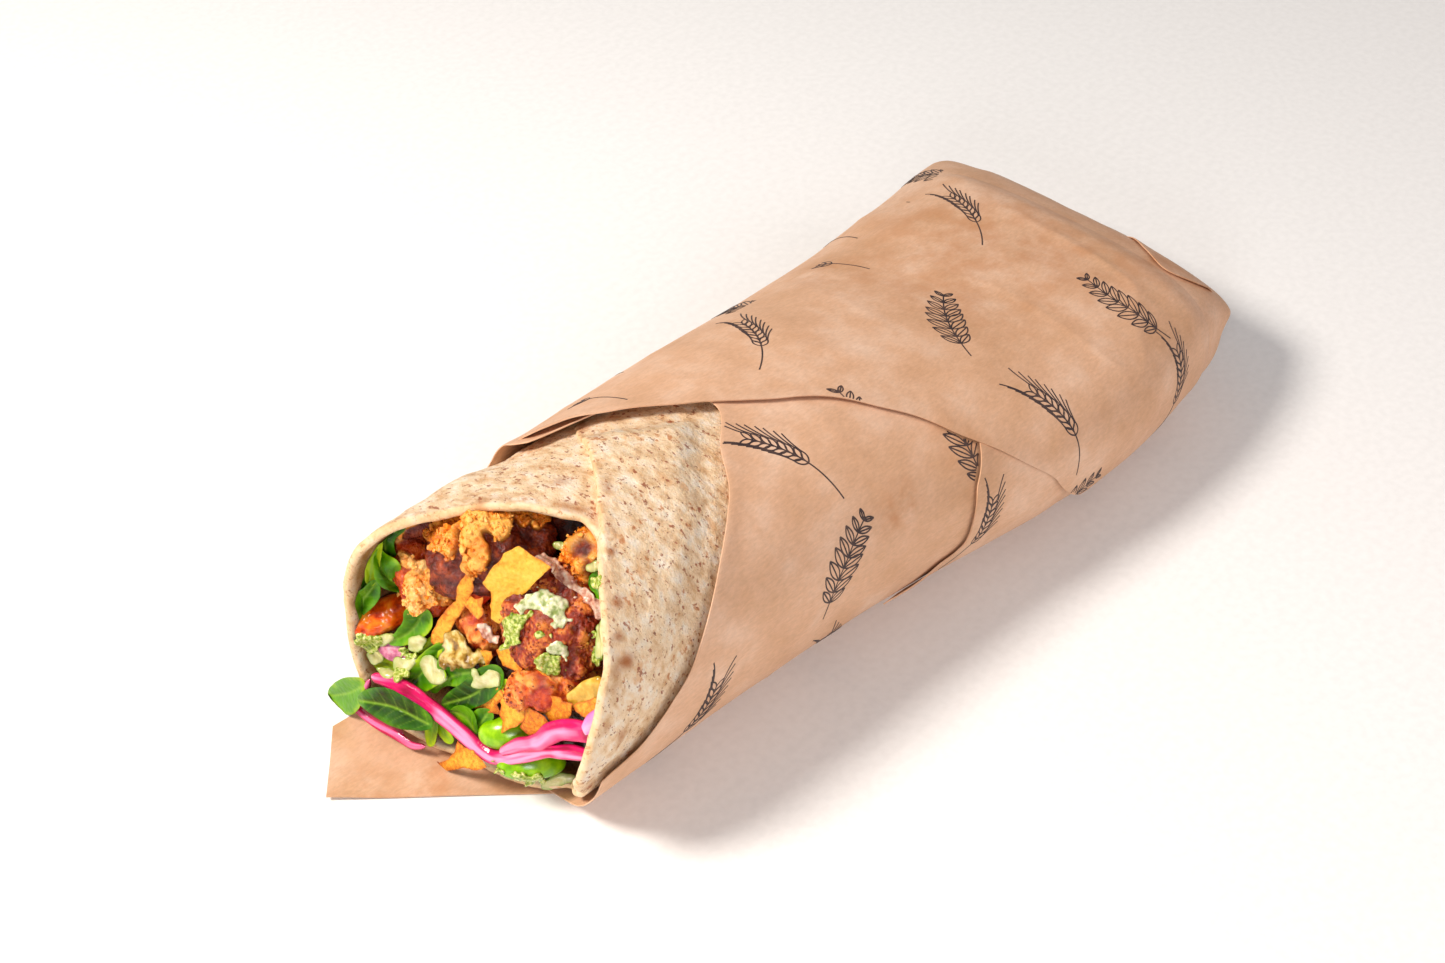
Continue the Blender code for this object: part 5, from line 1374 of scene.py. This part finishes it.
def leaf_sheet(corners, rib, base, tilt, fold, wave, tone, seed):
    """Leaf inside a soft outline: folded along its midrib, waved towards its margin, puffed between its veins.

    Side veins leave the midrib at a slant every 2.3 mm. `pale` is the share of light that comes through.
    """
    corners = outline(corners)
    across, up, depth, keep = outline_grid(corners, 0.24, seed, ragged=0.12, soft=3, grow=0.7)
    line = smooth_path([(*p, 0.0) for p in outline(rib)], 24)[:, :2]
    away, reach = along_line(across, up, line)
    spots = points_at(across, up, seed * 3.0)
    lateral = np.abs((reach + 0.9 * away) / 2.3 % 1 - 0.5) * 2.3
    midrib = np.exp(-(away / 0.26) ** 2)
    vein = np.clip(0.7 * midrib + 0.3 * np.exp(-(lateral / 0.13) ** 2) * np.exp(-away / 5), 0, 1)
    margin = np.exp(-(depth / 1.1) ** 2)
    puffs = 1.2 * wave * noise(spots, 3.4, seed + 1) + 0.16 * np.clip(lateral, 0, 0.8)
    lift = (tilted(across, up, corners, base, tilt) + 1.6 * fold * away + puffs * (1 - midrib)
            + 0.5 * wave * margin * noise(spots, 2.0, seed + 2) - 0.1 * midrib)
    body = 0.15 * np.clip(0.3 + depth / 0.3, 0, 1)
    pale = np.clip(tone + 0.22 * margin + 0.25 * noise(spots, 4.0, seed + 3), 0, 1)
    return masked_shell(kept_inside(seen(across, up, lift + body)), kept_inside(seen(across, up, lift - body)), keep,
                        vein=vein, pale=pale)


def build_leaves(colours, sizes):
    """Thin wavy salad leaves between the other pieces."""
    material = leaf_material(colours)
    for place, (name, parts) in enumerate(LEAVES.items()):
        bodies = [leaf_sheet(*part, 300 + 9 * place + k) for k, part in enumerate(parts)]
        new_piece("salad_" + name, bodies, material, "salad_leaf", "leaf_" + name)


def build_vegetables(colours, sizes):
    """Beans, roasted pepper and tomato as bent balls, and onion and pickle as strips.

    Each row of balls holds a middle, sink, radii, slant, seed, crag, grain and bend.
    """
    bean = moist_material("shelled_edamame", ((0.3, "5C9A00"), (0.5, colours.bean), (0.7, "AEDC18")),
                          3.0, 0.22, 0.3, 0.1)
    pepper = moist_material("roasted_red_pepper", ((0.3, "9E2404"), (0.45, "E0540A"), (0.66, "F8921E")),
                            3.0, 0.14, 0.2, 0.5)
    tomato = moist_material("ripe_tomato", ((0.3, "B01A10"), (0.5, "E03A1C"), (0.72, "F27A4E")), 4.0, 0.08, 0.3, 0.2)
    onion = moist_material("red_onion_flesh", ((0.35, "A8486E"), (0.5, "C9758F"), (0.7, "E8B4C2")),
                           2.0, 0.2, 0.3, 0.2)
    pickle = moist_material("pickled_cucumber", ((0.3, "A07C1C"), (0.5, "CE9E34"), (0.7, "ECC45E")),
                            2.5, 0.16, 0.35, 0.3)
    chunks = (
        ("bean_upper", bean, "edamame", (2.6, -22.8), 1.5, (7.2, 3.6, 3.4), 4, 11, 0.02, 6.0, 1.0),
        ("bean_lower", bean, "edamame", (6.3, -29.3), 1.5, (7.0, 3.2, 3.2), 4, 12, 0.02, 6.0, 0.8),
        ("roasted_pepper", pepper, "roasted_pepper", (-23.6, 1.0), 1.5, (6.8, 3.6, 2.8), 26, 13, 0.09, 5.0, 0.0),
        ("tomato_lower", tomato, "tomato", (7.3, -14.6), 2.0, (4.4, 3.6, 3.0), 10, 14, 0.05, 6.0, 0.0),
        ("tomato_upper", tomato, "tomato", (-3.8, 6.6), 0.3, (4.4, 2.7, 2.4), 50, 15, 0.06, 6.0, 0.0),
    )
    for name, material, slot, middle, sink, radii, slant, seed, crag, grain, bend in chunks:
        grid = ball(middle, sink, radii, slant, seed, 0.25, crag, grain, bend)
        if name == "roasted_pepper":
            grid = push(grid, 0.35 * noise(grid * (1.0, 2.2, 2.2), 2.6, 91, 2))
        new_piece(name + "_piece", [rings(kept_inside(grid))], material, slot, name)
    onion_path = ((-25.2, -4.1, 2.0), (-22.0, -6.3, 2.4), (-18.4, -6.3, 2.0))
    onion_strip = shred(onion_path, (2.4, 4.2, 2.6), 1.4, 221)
    new_piece("red_onion_piece", [onion_strip], onion, "red_onion", "red_onion")
    pickle_path = ((14.2, -16.9, 1.4), (18.4, -15.0, 1.8), (22.0, -13.2, 1.4))
    pickle_strip = shred(pickle_path, (3.6, 5.6, 4.6), 1.9, 222)
    new_piece("pickle_piece", [pickle_strip], pickle, "pickle", "pickle_slice")


# ---- sauces and crumbs

def as_seen(points):
    """Across, up and distance from the eye of points: the reverse of `seen`."""
    ray = points - EYE
    far = -(ray @ VIEW_BACK)
    return (ray @ VIEW_RIGHT / far * PLANE_DISTANCE - PLANE_SHIFT[0],
            ray @ VIEW_UP / far * PLANE_DISTANCE - PLANE_SHIFT[1], far)


def at_distance(across, up, far):
    """Points that are seen at `across` and `up`, at a distance from the eye."""
    return EYE + on_plane(across, up) * (far / PLANE_DISTANCE)[..., None] - VIEW_BACK * far[..., None]


def spread(field, pick, times):
    """Each cell of a map takes the pick of itself and its eight neighbours, `times` over."""
    for _ in range(times):
        padded = np.pad(field, 1, mode="edge")
        views = [padded[i:i + field.shape[0], j:j + field.shape[1]] for i in range(3) for j in range(3)]
        field = pick(views, axis=0)
    return field


def read(items, key, width=1):
    """An array of one value, or of `width` values, for each item of a mesh's data."""
    flat = np.empty(len(items) * width, np.float32)
    items.foreach_get(key, flat)
    return flat.reshape(-1, width).astype(float) if width > 1 else flat


def filling_map():
    """Distance from the eye of what shows in the open end, on a grid; gaps less than 2 mm wide are bridged."""
    near = np.full(MAP_SIZE, 1e6)
    for piece in bpy.data.objects:
        if piece.type != "MESH" or piece.hide_render or piece.name.startswith(("paper_", "print_")):
            continue
        across, up, far = as_seen(read(piece.data.vertices, "co", 3) / MM)
        i = np.floor((across - MAP_LOW[0]) / MAP_STEP).astype(int)
        j = np.floor((up - MAP_LOW[1]) / MAP_STEP).astype(int)
        inside = (i >= 0) & (i < MAP_SIZE[0]) & (j >= 0) & (j < MAP_SIZE[1])
        np.minimum.at(near, (i[inside], j[inside]), far[inside])
    near = spread(near, np.min, 2)
    near[near > 1e5] = near[near < 1e5].max()
    bridged = spread(spread(near, np.min, 3), np.max, 3)
    return spread(np.minimum(near, bridged), np.mean, 3)


def look_up(field, across, up):
    """Value of a map between its cells."""
    x = np.clip((across - MAP_LOW[0]) / MAP_STEP - 0.5, 0, MAP_SIZE[0] - 1.001)
    y = np.clip((up - MAP_LOW[1]) / MAP_STEP - 0.5, 0, MAP_SIZE[1] - 1.001)
    i, j = x.astype(int), y.astype(int)
    a, b = x - i, y - j
    return (field[i, j] * (1 - a) * (1 - b) + field[i + 1, j] * a * (1 - b) + field[i, j + 1] * (1 - a) * b
            + field[i + 1, j + 1] * a * b)


def pool(field, corners, thick, grain, seed, ragged, bead, grow):
    """Sauce inside an outline on the filling: the map of the filling brought nearer, like a drop that has run.

    The drop is a quarter circle `bead` mm wide up from its rim, then level; pesto adds grains. It stays
    within 4 mm of depth, so that it neither climbs the rim nor runs down a gap.
    """
    across, up, depth, keep = outline_grid(outline(corners), 0.2, seed, ragged, soft=2, grow=grow)
    spots = points_at(across, up, seed * 5.0)
    amount = np.sqrt(np.clip(1 - (1 - np.clip(depth / bead, 0, 1)) ** 2, 0, 1))
    grains_up = grain * (domes(spots, 1.0, seed + 1) + 0.5 * domes(spots, 0.5, seed + 2))
    drop = (thick + grains_up + 0.12 * noise(spots, 3.0, seed + 3)) * amount
    far = look_up(field, across, up)
    middle = np.percentile(far[depth > 0.2], 75)
    far = np.clip(far, middle - 2.5, middle + 1.5) - drop + 0.3 * (1 - amount)
    top = at_distance(across, up, far)
    under = at_distance(across, up, far + 0.4 + drop)
    top[..., 2] = np.maximum(top[..., 2], 0.7)
    under[..., 2] = np.maximum(under[..., 2], 0.6)
    return masked_shell(top, under, keep, value=amount)


def masked_shell(top, under, keep, **values):
    """Closed body between two grids over the kept cells: faces on both, and walls where a kept cell ends."""
    rows, cols = top.shape[:2]
    faces = quads(rows, cols, False)[keep]
    size = rows * cols
    sides = np.concatenate([np.stack([faces[:, k], faces[:, (k + 1) % 4]], axis=1) for k in range(4)])
    forward = sides[:, 0].astype(np.int64) * size + sides[:, 1]
    backward = sides[:, 1].astype(np.int64) * size + sides[:, 0]
    rim = sides[~np.isin(forward, backward)]
    wall = np.stack([rim[:, 1], rim[:, 0], rim[:, 0] + size, rim[:, 1] + size], axis=1)
    joined = np.concatenate([faces, faces[:, ::-1] + size, wall])
    used, renumbered = np.unique(joined, return_inverse=True)
    points = np.concatenate([top.reshape(-1, 3), under.reshape(-1, 3)])[used]
    faces = renumbered.reshape(joined.shape)
    kept = {name: np.concatenate([v.ravel(), v.ravel()])[used] for name, v in values.items()}
    return points, outward(points, faces), kept


def build_sauces(colours, sizes):
    """Cream and herb sauces that run over the filling.

    Each row holds the slot, the map that it lies on, thickness, grain, seed, raggedness, bead and growth.
    """
    field = filling_map()
    level = spread(field, np.mean, 2)
    cream = moist_material("creamy_dressing", ((0.3, "BEB66A"), (0.48, colours.cream), (0.66, "E0DAAA")),
                           2.0, 0.08, 0.25, 0.15, "7A9A34")
    pesto = moist_material("herb_pesto", ((0.34, "5A7414"), (0.48, colours.pesto), (0.64, "DEDC90")),
                           0.8, 0.2, 0.2, 0.6)
    smear = moist_material("thin_herb_cream", ((0.36, "8FA058"), (0.5, "CDD0A0"), (0.64, "EFE9CE")),
                           1.2, 0.14, 0.2, 0.3)
    batter = moist_material("pale_batter", ((0.36, "9C5844"), (0.48, "CF9880"), (0.66, "F0DCC6")),
                            1.6, 0.2, 0.15, 0.4)
    brown = moist_material("browned_cream", ((0.36, "74501A"), (0.46, "AE8630"), (0.56, "D8BE78"), (0.68, "EADAA6")),
                           2.6, 0.16, 0.2, 0.1, "6A5A1C")
    for name, material, slot, chart, thick, grain, seed, ragged, bead, grow in (
            ("cream_dressing", cream, "filling", level, 0.14, 0.0, 401, 0.4, 1.3, 0.3),
            ("browned_cream", brown, "filling", level, 0.12, 0.12, 461, 1.0, 1.0, 0.3),
            ("thin_cream", smear, "filling", field, 0.1, 0.25, 421, 1.8, 0.6, 0.1),
            ("fried_batter_edge", batter, "glazed_chicken", field, 0.15, 0.3, 431, 1.0, 0.6, 0.2),
            ("herb_pesto", pesto, "filling", field, 0.1, 0.55, 441, 2.0, 0.7, 0.2)):
        bodies = [pool(chart, corners, thick, grain, seed + k, ragged, bead, grow)
                  for k, corners in enumerate(POOLS[name])]
        new_piece(name, bodies, material, slot)


def crumb_lumps(middles, sizes_mm, tones, seed):
    """Crumbs: balls of 32 triangles, an octahedron with its edges halved, each corner moved in or out by chance."""
    chance = np.random.default_rng(seed)
    count = len(middles)
    poles = np.array([(1, 0, 0), (-1, 0, 0), (0, 1, 0), (0, -1, 0), (0, 0, 1), (0, 0, -1)], float)
    eight = np.array([(0, 2, 4), (2, 1, 4), (1, 3, 4), (3, 0, 4), (2, 0, 5), (1, 2, 5), (3, 1, 5), (0, 3, 5)])
    pairs = np.sort(np.stack([eight, np.roll(eight, -1, axis=1)], axis=-1).reshape(-1, 2), axis=1)
    edges, which = np.unique(pairs, axis=0, return_inverse=True)
    halves = which.reshape(8, 3) + 6
    shape = np.concatenate([poles, unit(poles[edges].sum(axis=1))])
    a, b, c = eight.T
    ab, bc, ca = halves.T
    quarters = ((a, ab, ca, ca), (b, bc, ab, ab), (c, ca, bc, bc), (ab, bc, ca, ca))
    faces = np.concatenate([np.stack(corners, axis=1) for corners in quarters])
    balls = shape[None] * chance.uniform(0.45, 1.25, (count, 18, 1)) * chance.uniform(0.6, 1.1, (count, 1, 3))
    spin = np.linalg.qr(chance.normal(size=(count, 3, 3)))[0]
    spin[np.linalg.det(spin) < 0, :, 0] *= -1
    points = np.einsum("nij,nkj->nki", spin, balls * sizes_mm[:, None, None] / 2) + middles[:, None]
    joined = (faces[None] + np.arange(count)[:, None, None] * 18).reshape(-1, 4)
    points = points.reshape(-1, 3)
    return points, outward(points, joined), {"tone": np.repeat(tones, 18)}


def build_crumbs(colours, sizes):
    """Crumbs of the crusts: a thick golden coat on the upper chunks and a thin dark one on the glazed chunks.

    They are drawn by chance from the crusted points that face the eye, more often from the tops of the grain.
    The crumbs of the left chunk are painted paler: painted light where the tortilla shades that chunk.
    """
    golden = crumb_material("golden_fried_crumbs", (
        (0.15, "7A2A04"), (0.42, "CA6408"), (0.72, "EE8C1E"), (1.0, "FCBC60")), 0.42)
    browned = crumb_material("glazed_fried_crumbs", (
        (0.15, "300A06"), (0.55, "6E2010"), (0.9, "A8481C"), (1.0, "E09A44")), 0.2)
    coats = (("loose_crumbs", golden, "crumbed_chicken", 1.0, 79,
              (("left", 420), ("upper", 1300), ("right", 160), ("back", 150))),
             ("glazed_crumbs", browned, "glazed_chicken", 0.62, 80, (("dark", 1100), ("middle", 300), ("low", 300))))
    for name, material, slot, share, seed, chunks in coats:
        chance = np.random.default_rng(seed)
        bodies = []
        for chunk, most in chunks:
            mesh = bpy.data.objects[f"chicken_{chunk}_piece"].data
            points, normal = read(mesh.vertices, "co", 3) / MM, read(mesh.vertices, "normal", 3)
            crust, grain = (read(mesh.attributes[key].data, "value") for key in ("crust", "grain"))
            shown = np.flatnonzero((crust > 0.55) & (grain > 0.25) & (normal @ VIEW_BACK > -0.25))
            odds = grain[shown] ** 1.5
            picked = chance.choice(shown, min(most, len(shown)), replace=False, p=odds / odds.sum())
            count = len(picked)
            amount = sizes.crumb / MM * share * (0.4 + 1.5 * chance.random(count) ** 3)
            out = chance.uniform(-0.3, 0.3, count) * amount
            middles = kept_inside(points[picked] + normal[picked] * out[:, None])
            # The left chunk's crumbs are painted paler: painted light where the tortilla shades it
            pale = 0.1 + 0.14 * (chunk == "left")
            # Crumbs high on the grain or sticking out are paler and sunk ones darker: painted light and shade
            tones = pale + 0.55 * grain[picked] * chance.uniform(0.55, 1.25, count) + 0.25 * out / amount
            bodies.append(crumb_lumps(middles, amount, tones, seed + most))
        new_piece(name, bodies, material, slot, sharp=45)


# ---- stage

def build_stage(colours, sizes):
    """A plain pale floor, soft light from above and the left, and the camera."""
    mesh = bpy.data.meshes.new("floor")
    mesh.from_pydata([(-3, -3, 0), (3, -3, 0), (3, 3, 0), (-3, 3, 0)], [], [(0, 1, 2, 3)])
    floor = placed("floor", mesh)
    material, tree = new_material("matt_white_board")
    tooth = add(tree, "TexNoise", {"Scale": 2, "Detail": 2.0})
    shade = add(tree, "ValToRGB", {"Fac": tooth}, ((0.3, colours.floor), (0.7, "FAFAFA")))
    mesh.materials.append(finished(material, shade, 0.9, tooth, 0.05))

    world = bpy.data.worlds.new("studio")
    bpy.context.scene.world = world
    world.use_nodes = True
    sky = world.node_tree.nodes["Background"].inputs
    sky["Color"].default_value = linear("FFFFFF")
    sky["Strength"].default_value = SKY_STRENGTH
    target = VIEW_TARGET * MM
    for name, place, size, power, shade in LAMPS:
        lamp = bpy.data.lights.new(name, "AREA")
        lamp.shape = "DISK"
        lamp.size = size
        lamp.energy = power
        lamp.color = linear(shade)[:3]
        placed(name, lamp).matrix_world = aimed(np.array(place), target)

    lens = bpy.data.cameras.new("camera")
    lens.sensor_width = SENSOR_WIDTH
    lens.lens = FOCAL_LENGTH
    lens.clip_start = 0.01
    camera = placed("camera", lens)
    camera.matrix_world = aimed(EYE * MM, target)
    bpy.context.scene.camera = camera
    bpy.context.scene.view_settings.view_transform = "Standard"


def aimed(place, target):
    """Matrix of a lamp or camera at a place that looks at a target, with its top up."""
    back = unit(place - target)
    right = unit(np.cross((0.0, 0.0, 1.0), back))
    matrix = np.eye(4)
    matrix[:3, :4] = np.stack([right, np.cross(back, right), back, place], axis=1)
    return Matrix(matrix.tolist())


# ---- add-on

def shade_property(code, name, description):
    """A colour that the user may change, given as sRGB hex."""
    return bpy.props.FloatVectorProperty(name=name, description=description, subtype="COLOR", size=4, min=0.0,
                                         max=1.0, default=linear(code))


def length_property(mm, name, description):
    """A length that the user may change, given in mm."""
    return bpy.props.FloatProperty(name=name, description=description, unit="LENGTH", min=0.0, default=mm * MM)


class WrapColours(bpy.types.PropertyGroup):
    """Main colours of the wrap"""
    paper: shade_property("DDB190", "Paper", "Main shade of the kraft paper")
    paper_dark: shade_property("CFA07A", "Paper, dark", "Darker clouds in the paper")
    paper_pale: shade_property("EBC9B0", "Paper, pale", "Paler clouds in the paper")
    grease: shade_property("C4875A", "Grease", "Paper soaked with grease")
    ink: shade_property("332526", "Ink", "Ink of the printed sprigs")
    tortilla: shade_property("E8CCA8", "Tortilla", "Floury surface")
    corn: shade_property("EEB030", "Corn", "Fried corn tortilla")
    leaf: shade_property("2C6200", "Salad leaves", "Blades of the salad leaves")
    cabbage: shade_property("DE1464", "Cabbage", "Pickled red cabbage")
    bean: shade_property("82B800", "Beans", "Edamame beans")
    cream: shade_property("CCC68A", "Cream dressing", "Cream on the filling")
    pesto: shade_property("9CAE34", "Herb sauce", "Pesto on the filling")
    floor: shade_property("F4F4F4", "Floor", "Floor under the wrap")


class WrapSizes(bpy.types.PropertyGroup):
    """Small sizes of the wrap"""
    sheet: length_property(0.3, "Sheet", "Thickness of the paper as drawn")
    line: length_property(0.4, "Print line", "Width of the printed lines")
    sprigs: length_property(42.0, "Sprig spacing", "From one row of printed sprigs to the next")
    rim: length_property(0.5, "Rim unevenness", "How far the rim of the tortilla wanders")
    crumb: length_property(0.9, "Crumb", "Usual size of a loose crumb")


class WrapOperator:
    """What the operators share: each runs one builder with the colours and sizes of the scene"""
    bl_options = {"REGISTER", "UNDO"}

    def execute(self, context):
        """Build the pieces of this operator"""
        type(self).build(context.scene.wrap_colours, context.scene.wrap_sizes)
        return {"FINISHED"}


class WRAP_OT_paper(WrapOperator, bpy.types.Operator):
    """Build the sheet of kraft paper"""
    bl_idname = "wrap.paper"
    bl_label = "Paper"
    build = build_paper


class WRAP_OT_print(WrapOperator, bpy.types.Operator):
    """Print sprigs on the paper"""
    bl_idname = "wrap.print"
    bl_label = "Print"
    build = build_print


class WRAP_OT_tortilla(WrapOperator, bpy.types.Operator):
    """Build the rolled tortilla"""
    bl_idname = "wrap.tortilla"
    bl_label = "Tortilla"
    build = build_tortilla


class WRAP_OT_core(WrapOperator, bpy.types.Operator):
    """Build the filling through the roll"""
    bl_idname = "wrap.core"
    bl_label = "Filling"
    build = build_core


class WRAP_OT_chicken(WrapOperator, bpy.types.Operator):
    """Build the chunks of chicken"""
    bl_idname = "wrap.chicken"
    bl_label = "Chicken"
    build = build_chicken


class WRAP_OT_corn(WrapOperator, bpy.types.Operator):
    """Build the corn strips"""
    bl_idname = "wrap.corn"
    bl_label = "Corn strips"
    build = build_corn


class WRAP_OT_cabbage(WrapOperator, bpy.types.Operator):
    """Build the pickled cabbage"""
    bl_idname = "wrap.cabbage"
    bl_label = "Cabbage"
    build = build_cabbage


class WRAP_OT_leaves(WrapOperator, bpy.types.Operator):
    """Build the salad leaves"""
    bl_idname = "wrap.leaves"
    bl_label = "Leaves"
    build = build_leaves


class WRAP_OT_vegetables(WrapOperator, bpy.types.Operator):
    """Build the beans, pepper, tomato, onion and pickle"""
    bl_idname = "wrap.vegetables"
    bl_label = "Vegetables"
    build = build_vegetables


class WRAP_OT_sauces(WrapOperator, bpy.types.Operator):
    """Pour the sauces over the filling"""
    bl_idname = "wrap.sauces"
    bl_label = "Sauces"
    build = build_sauces


class WRAP_OT_crumbs(WrapOperator, bpy.types.Operator):
    """Scatter crumbs on the chicken"""
    bl_idname = "wrap.crumbs"
    bl_label = "Crumbs"
    build = build_crumbs


class WRAP_OT_stage(WrapOperator, bpy.types.Operator):
    """Set up the floor, the lights and the camera"""
    bl_idname = "wrap.stage"
    bl_label = "Stage"
    build = build_stage


OPERATORS = (WRAP_OT_paper, WRAP_OT_print, WRAP_OT_tortilla, WRAP_OT_core, WRAP_OT_chicken, WRAP_OT_corn,
             WRAP_OT_cabbage, WRAP_OT_leaves, WRAP_OT_vegetables, WRAP_OT_sauces, WRAP_OT_crumbs, WRAP_OT_stage)


class WRAP_PT_panel(bpy.types.Panel):
    """Sidebar panel that lists the pieces of the wrap"""
    bl_idname = "WRAP_PT_panel"
    bl_label = "Chicken wrap"
    bl_space_type = "VIEW_3D"
    bl_region_type = "UI"
    bl_category = "Wrap"

    def draw(self, context):
        """List the sizes, the colours and the operators"""
        for group in (context.scene.wrap_sizes, context.scene.wrap_colours):
            for key in type(group).__annotations__:
                self.layout.prop(group, key)
        for operator in OPERATORS:
            self.layout.operator(operator.bl_idname)


CLASSES = (WrapColours, WrapSizes, *OPERATORS, WRAP_PT_panel)


def register():
    """Add the classes and the settings to Blender"""
    for item in CLASSES:
        bpy.utils.register_class(item)
    bpy.types.Scene.wrap_colours = bpy.props.PointerProperty(type=WrapColours)
    bpy.types.Scene.wrap_sizes = bpy.props.PointerProperty(type=WrapSizes)


def unregister():
    """Take the settings and the classes out of Blender"""
    del bpy.types.Scene.wrap_sizes
    del bpy.types.Scene.wrap_colours
    for item in reversed(CLASSES):
        bpy.utils.unregister_class(item)


def main():
    """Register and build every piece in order"""
    register()
    for step in (bpy.ops.wrap.paper, bpy.ops.wrap.print, bpy.ops.wrap.tortilla, bpy.ops.wrap.core,
                 bpy.ops.wrap.chicken, bpy.ops.wrap.corn, bpy.ops.wrap.cabbage, bpy.ops.wrap.leaves,
                 bpy.ops.wrap.vegetables, bpy.ops.wrap.sauces, bpy.ops.wrap.crumbs, bpy.ops.wrap.stage):
        step()


if __name__ == "__main__":
    main()
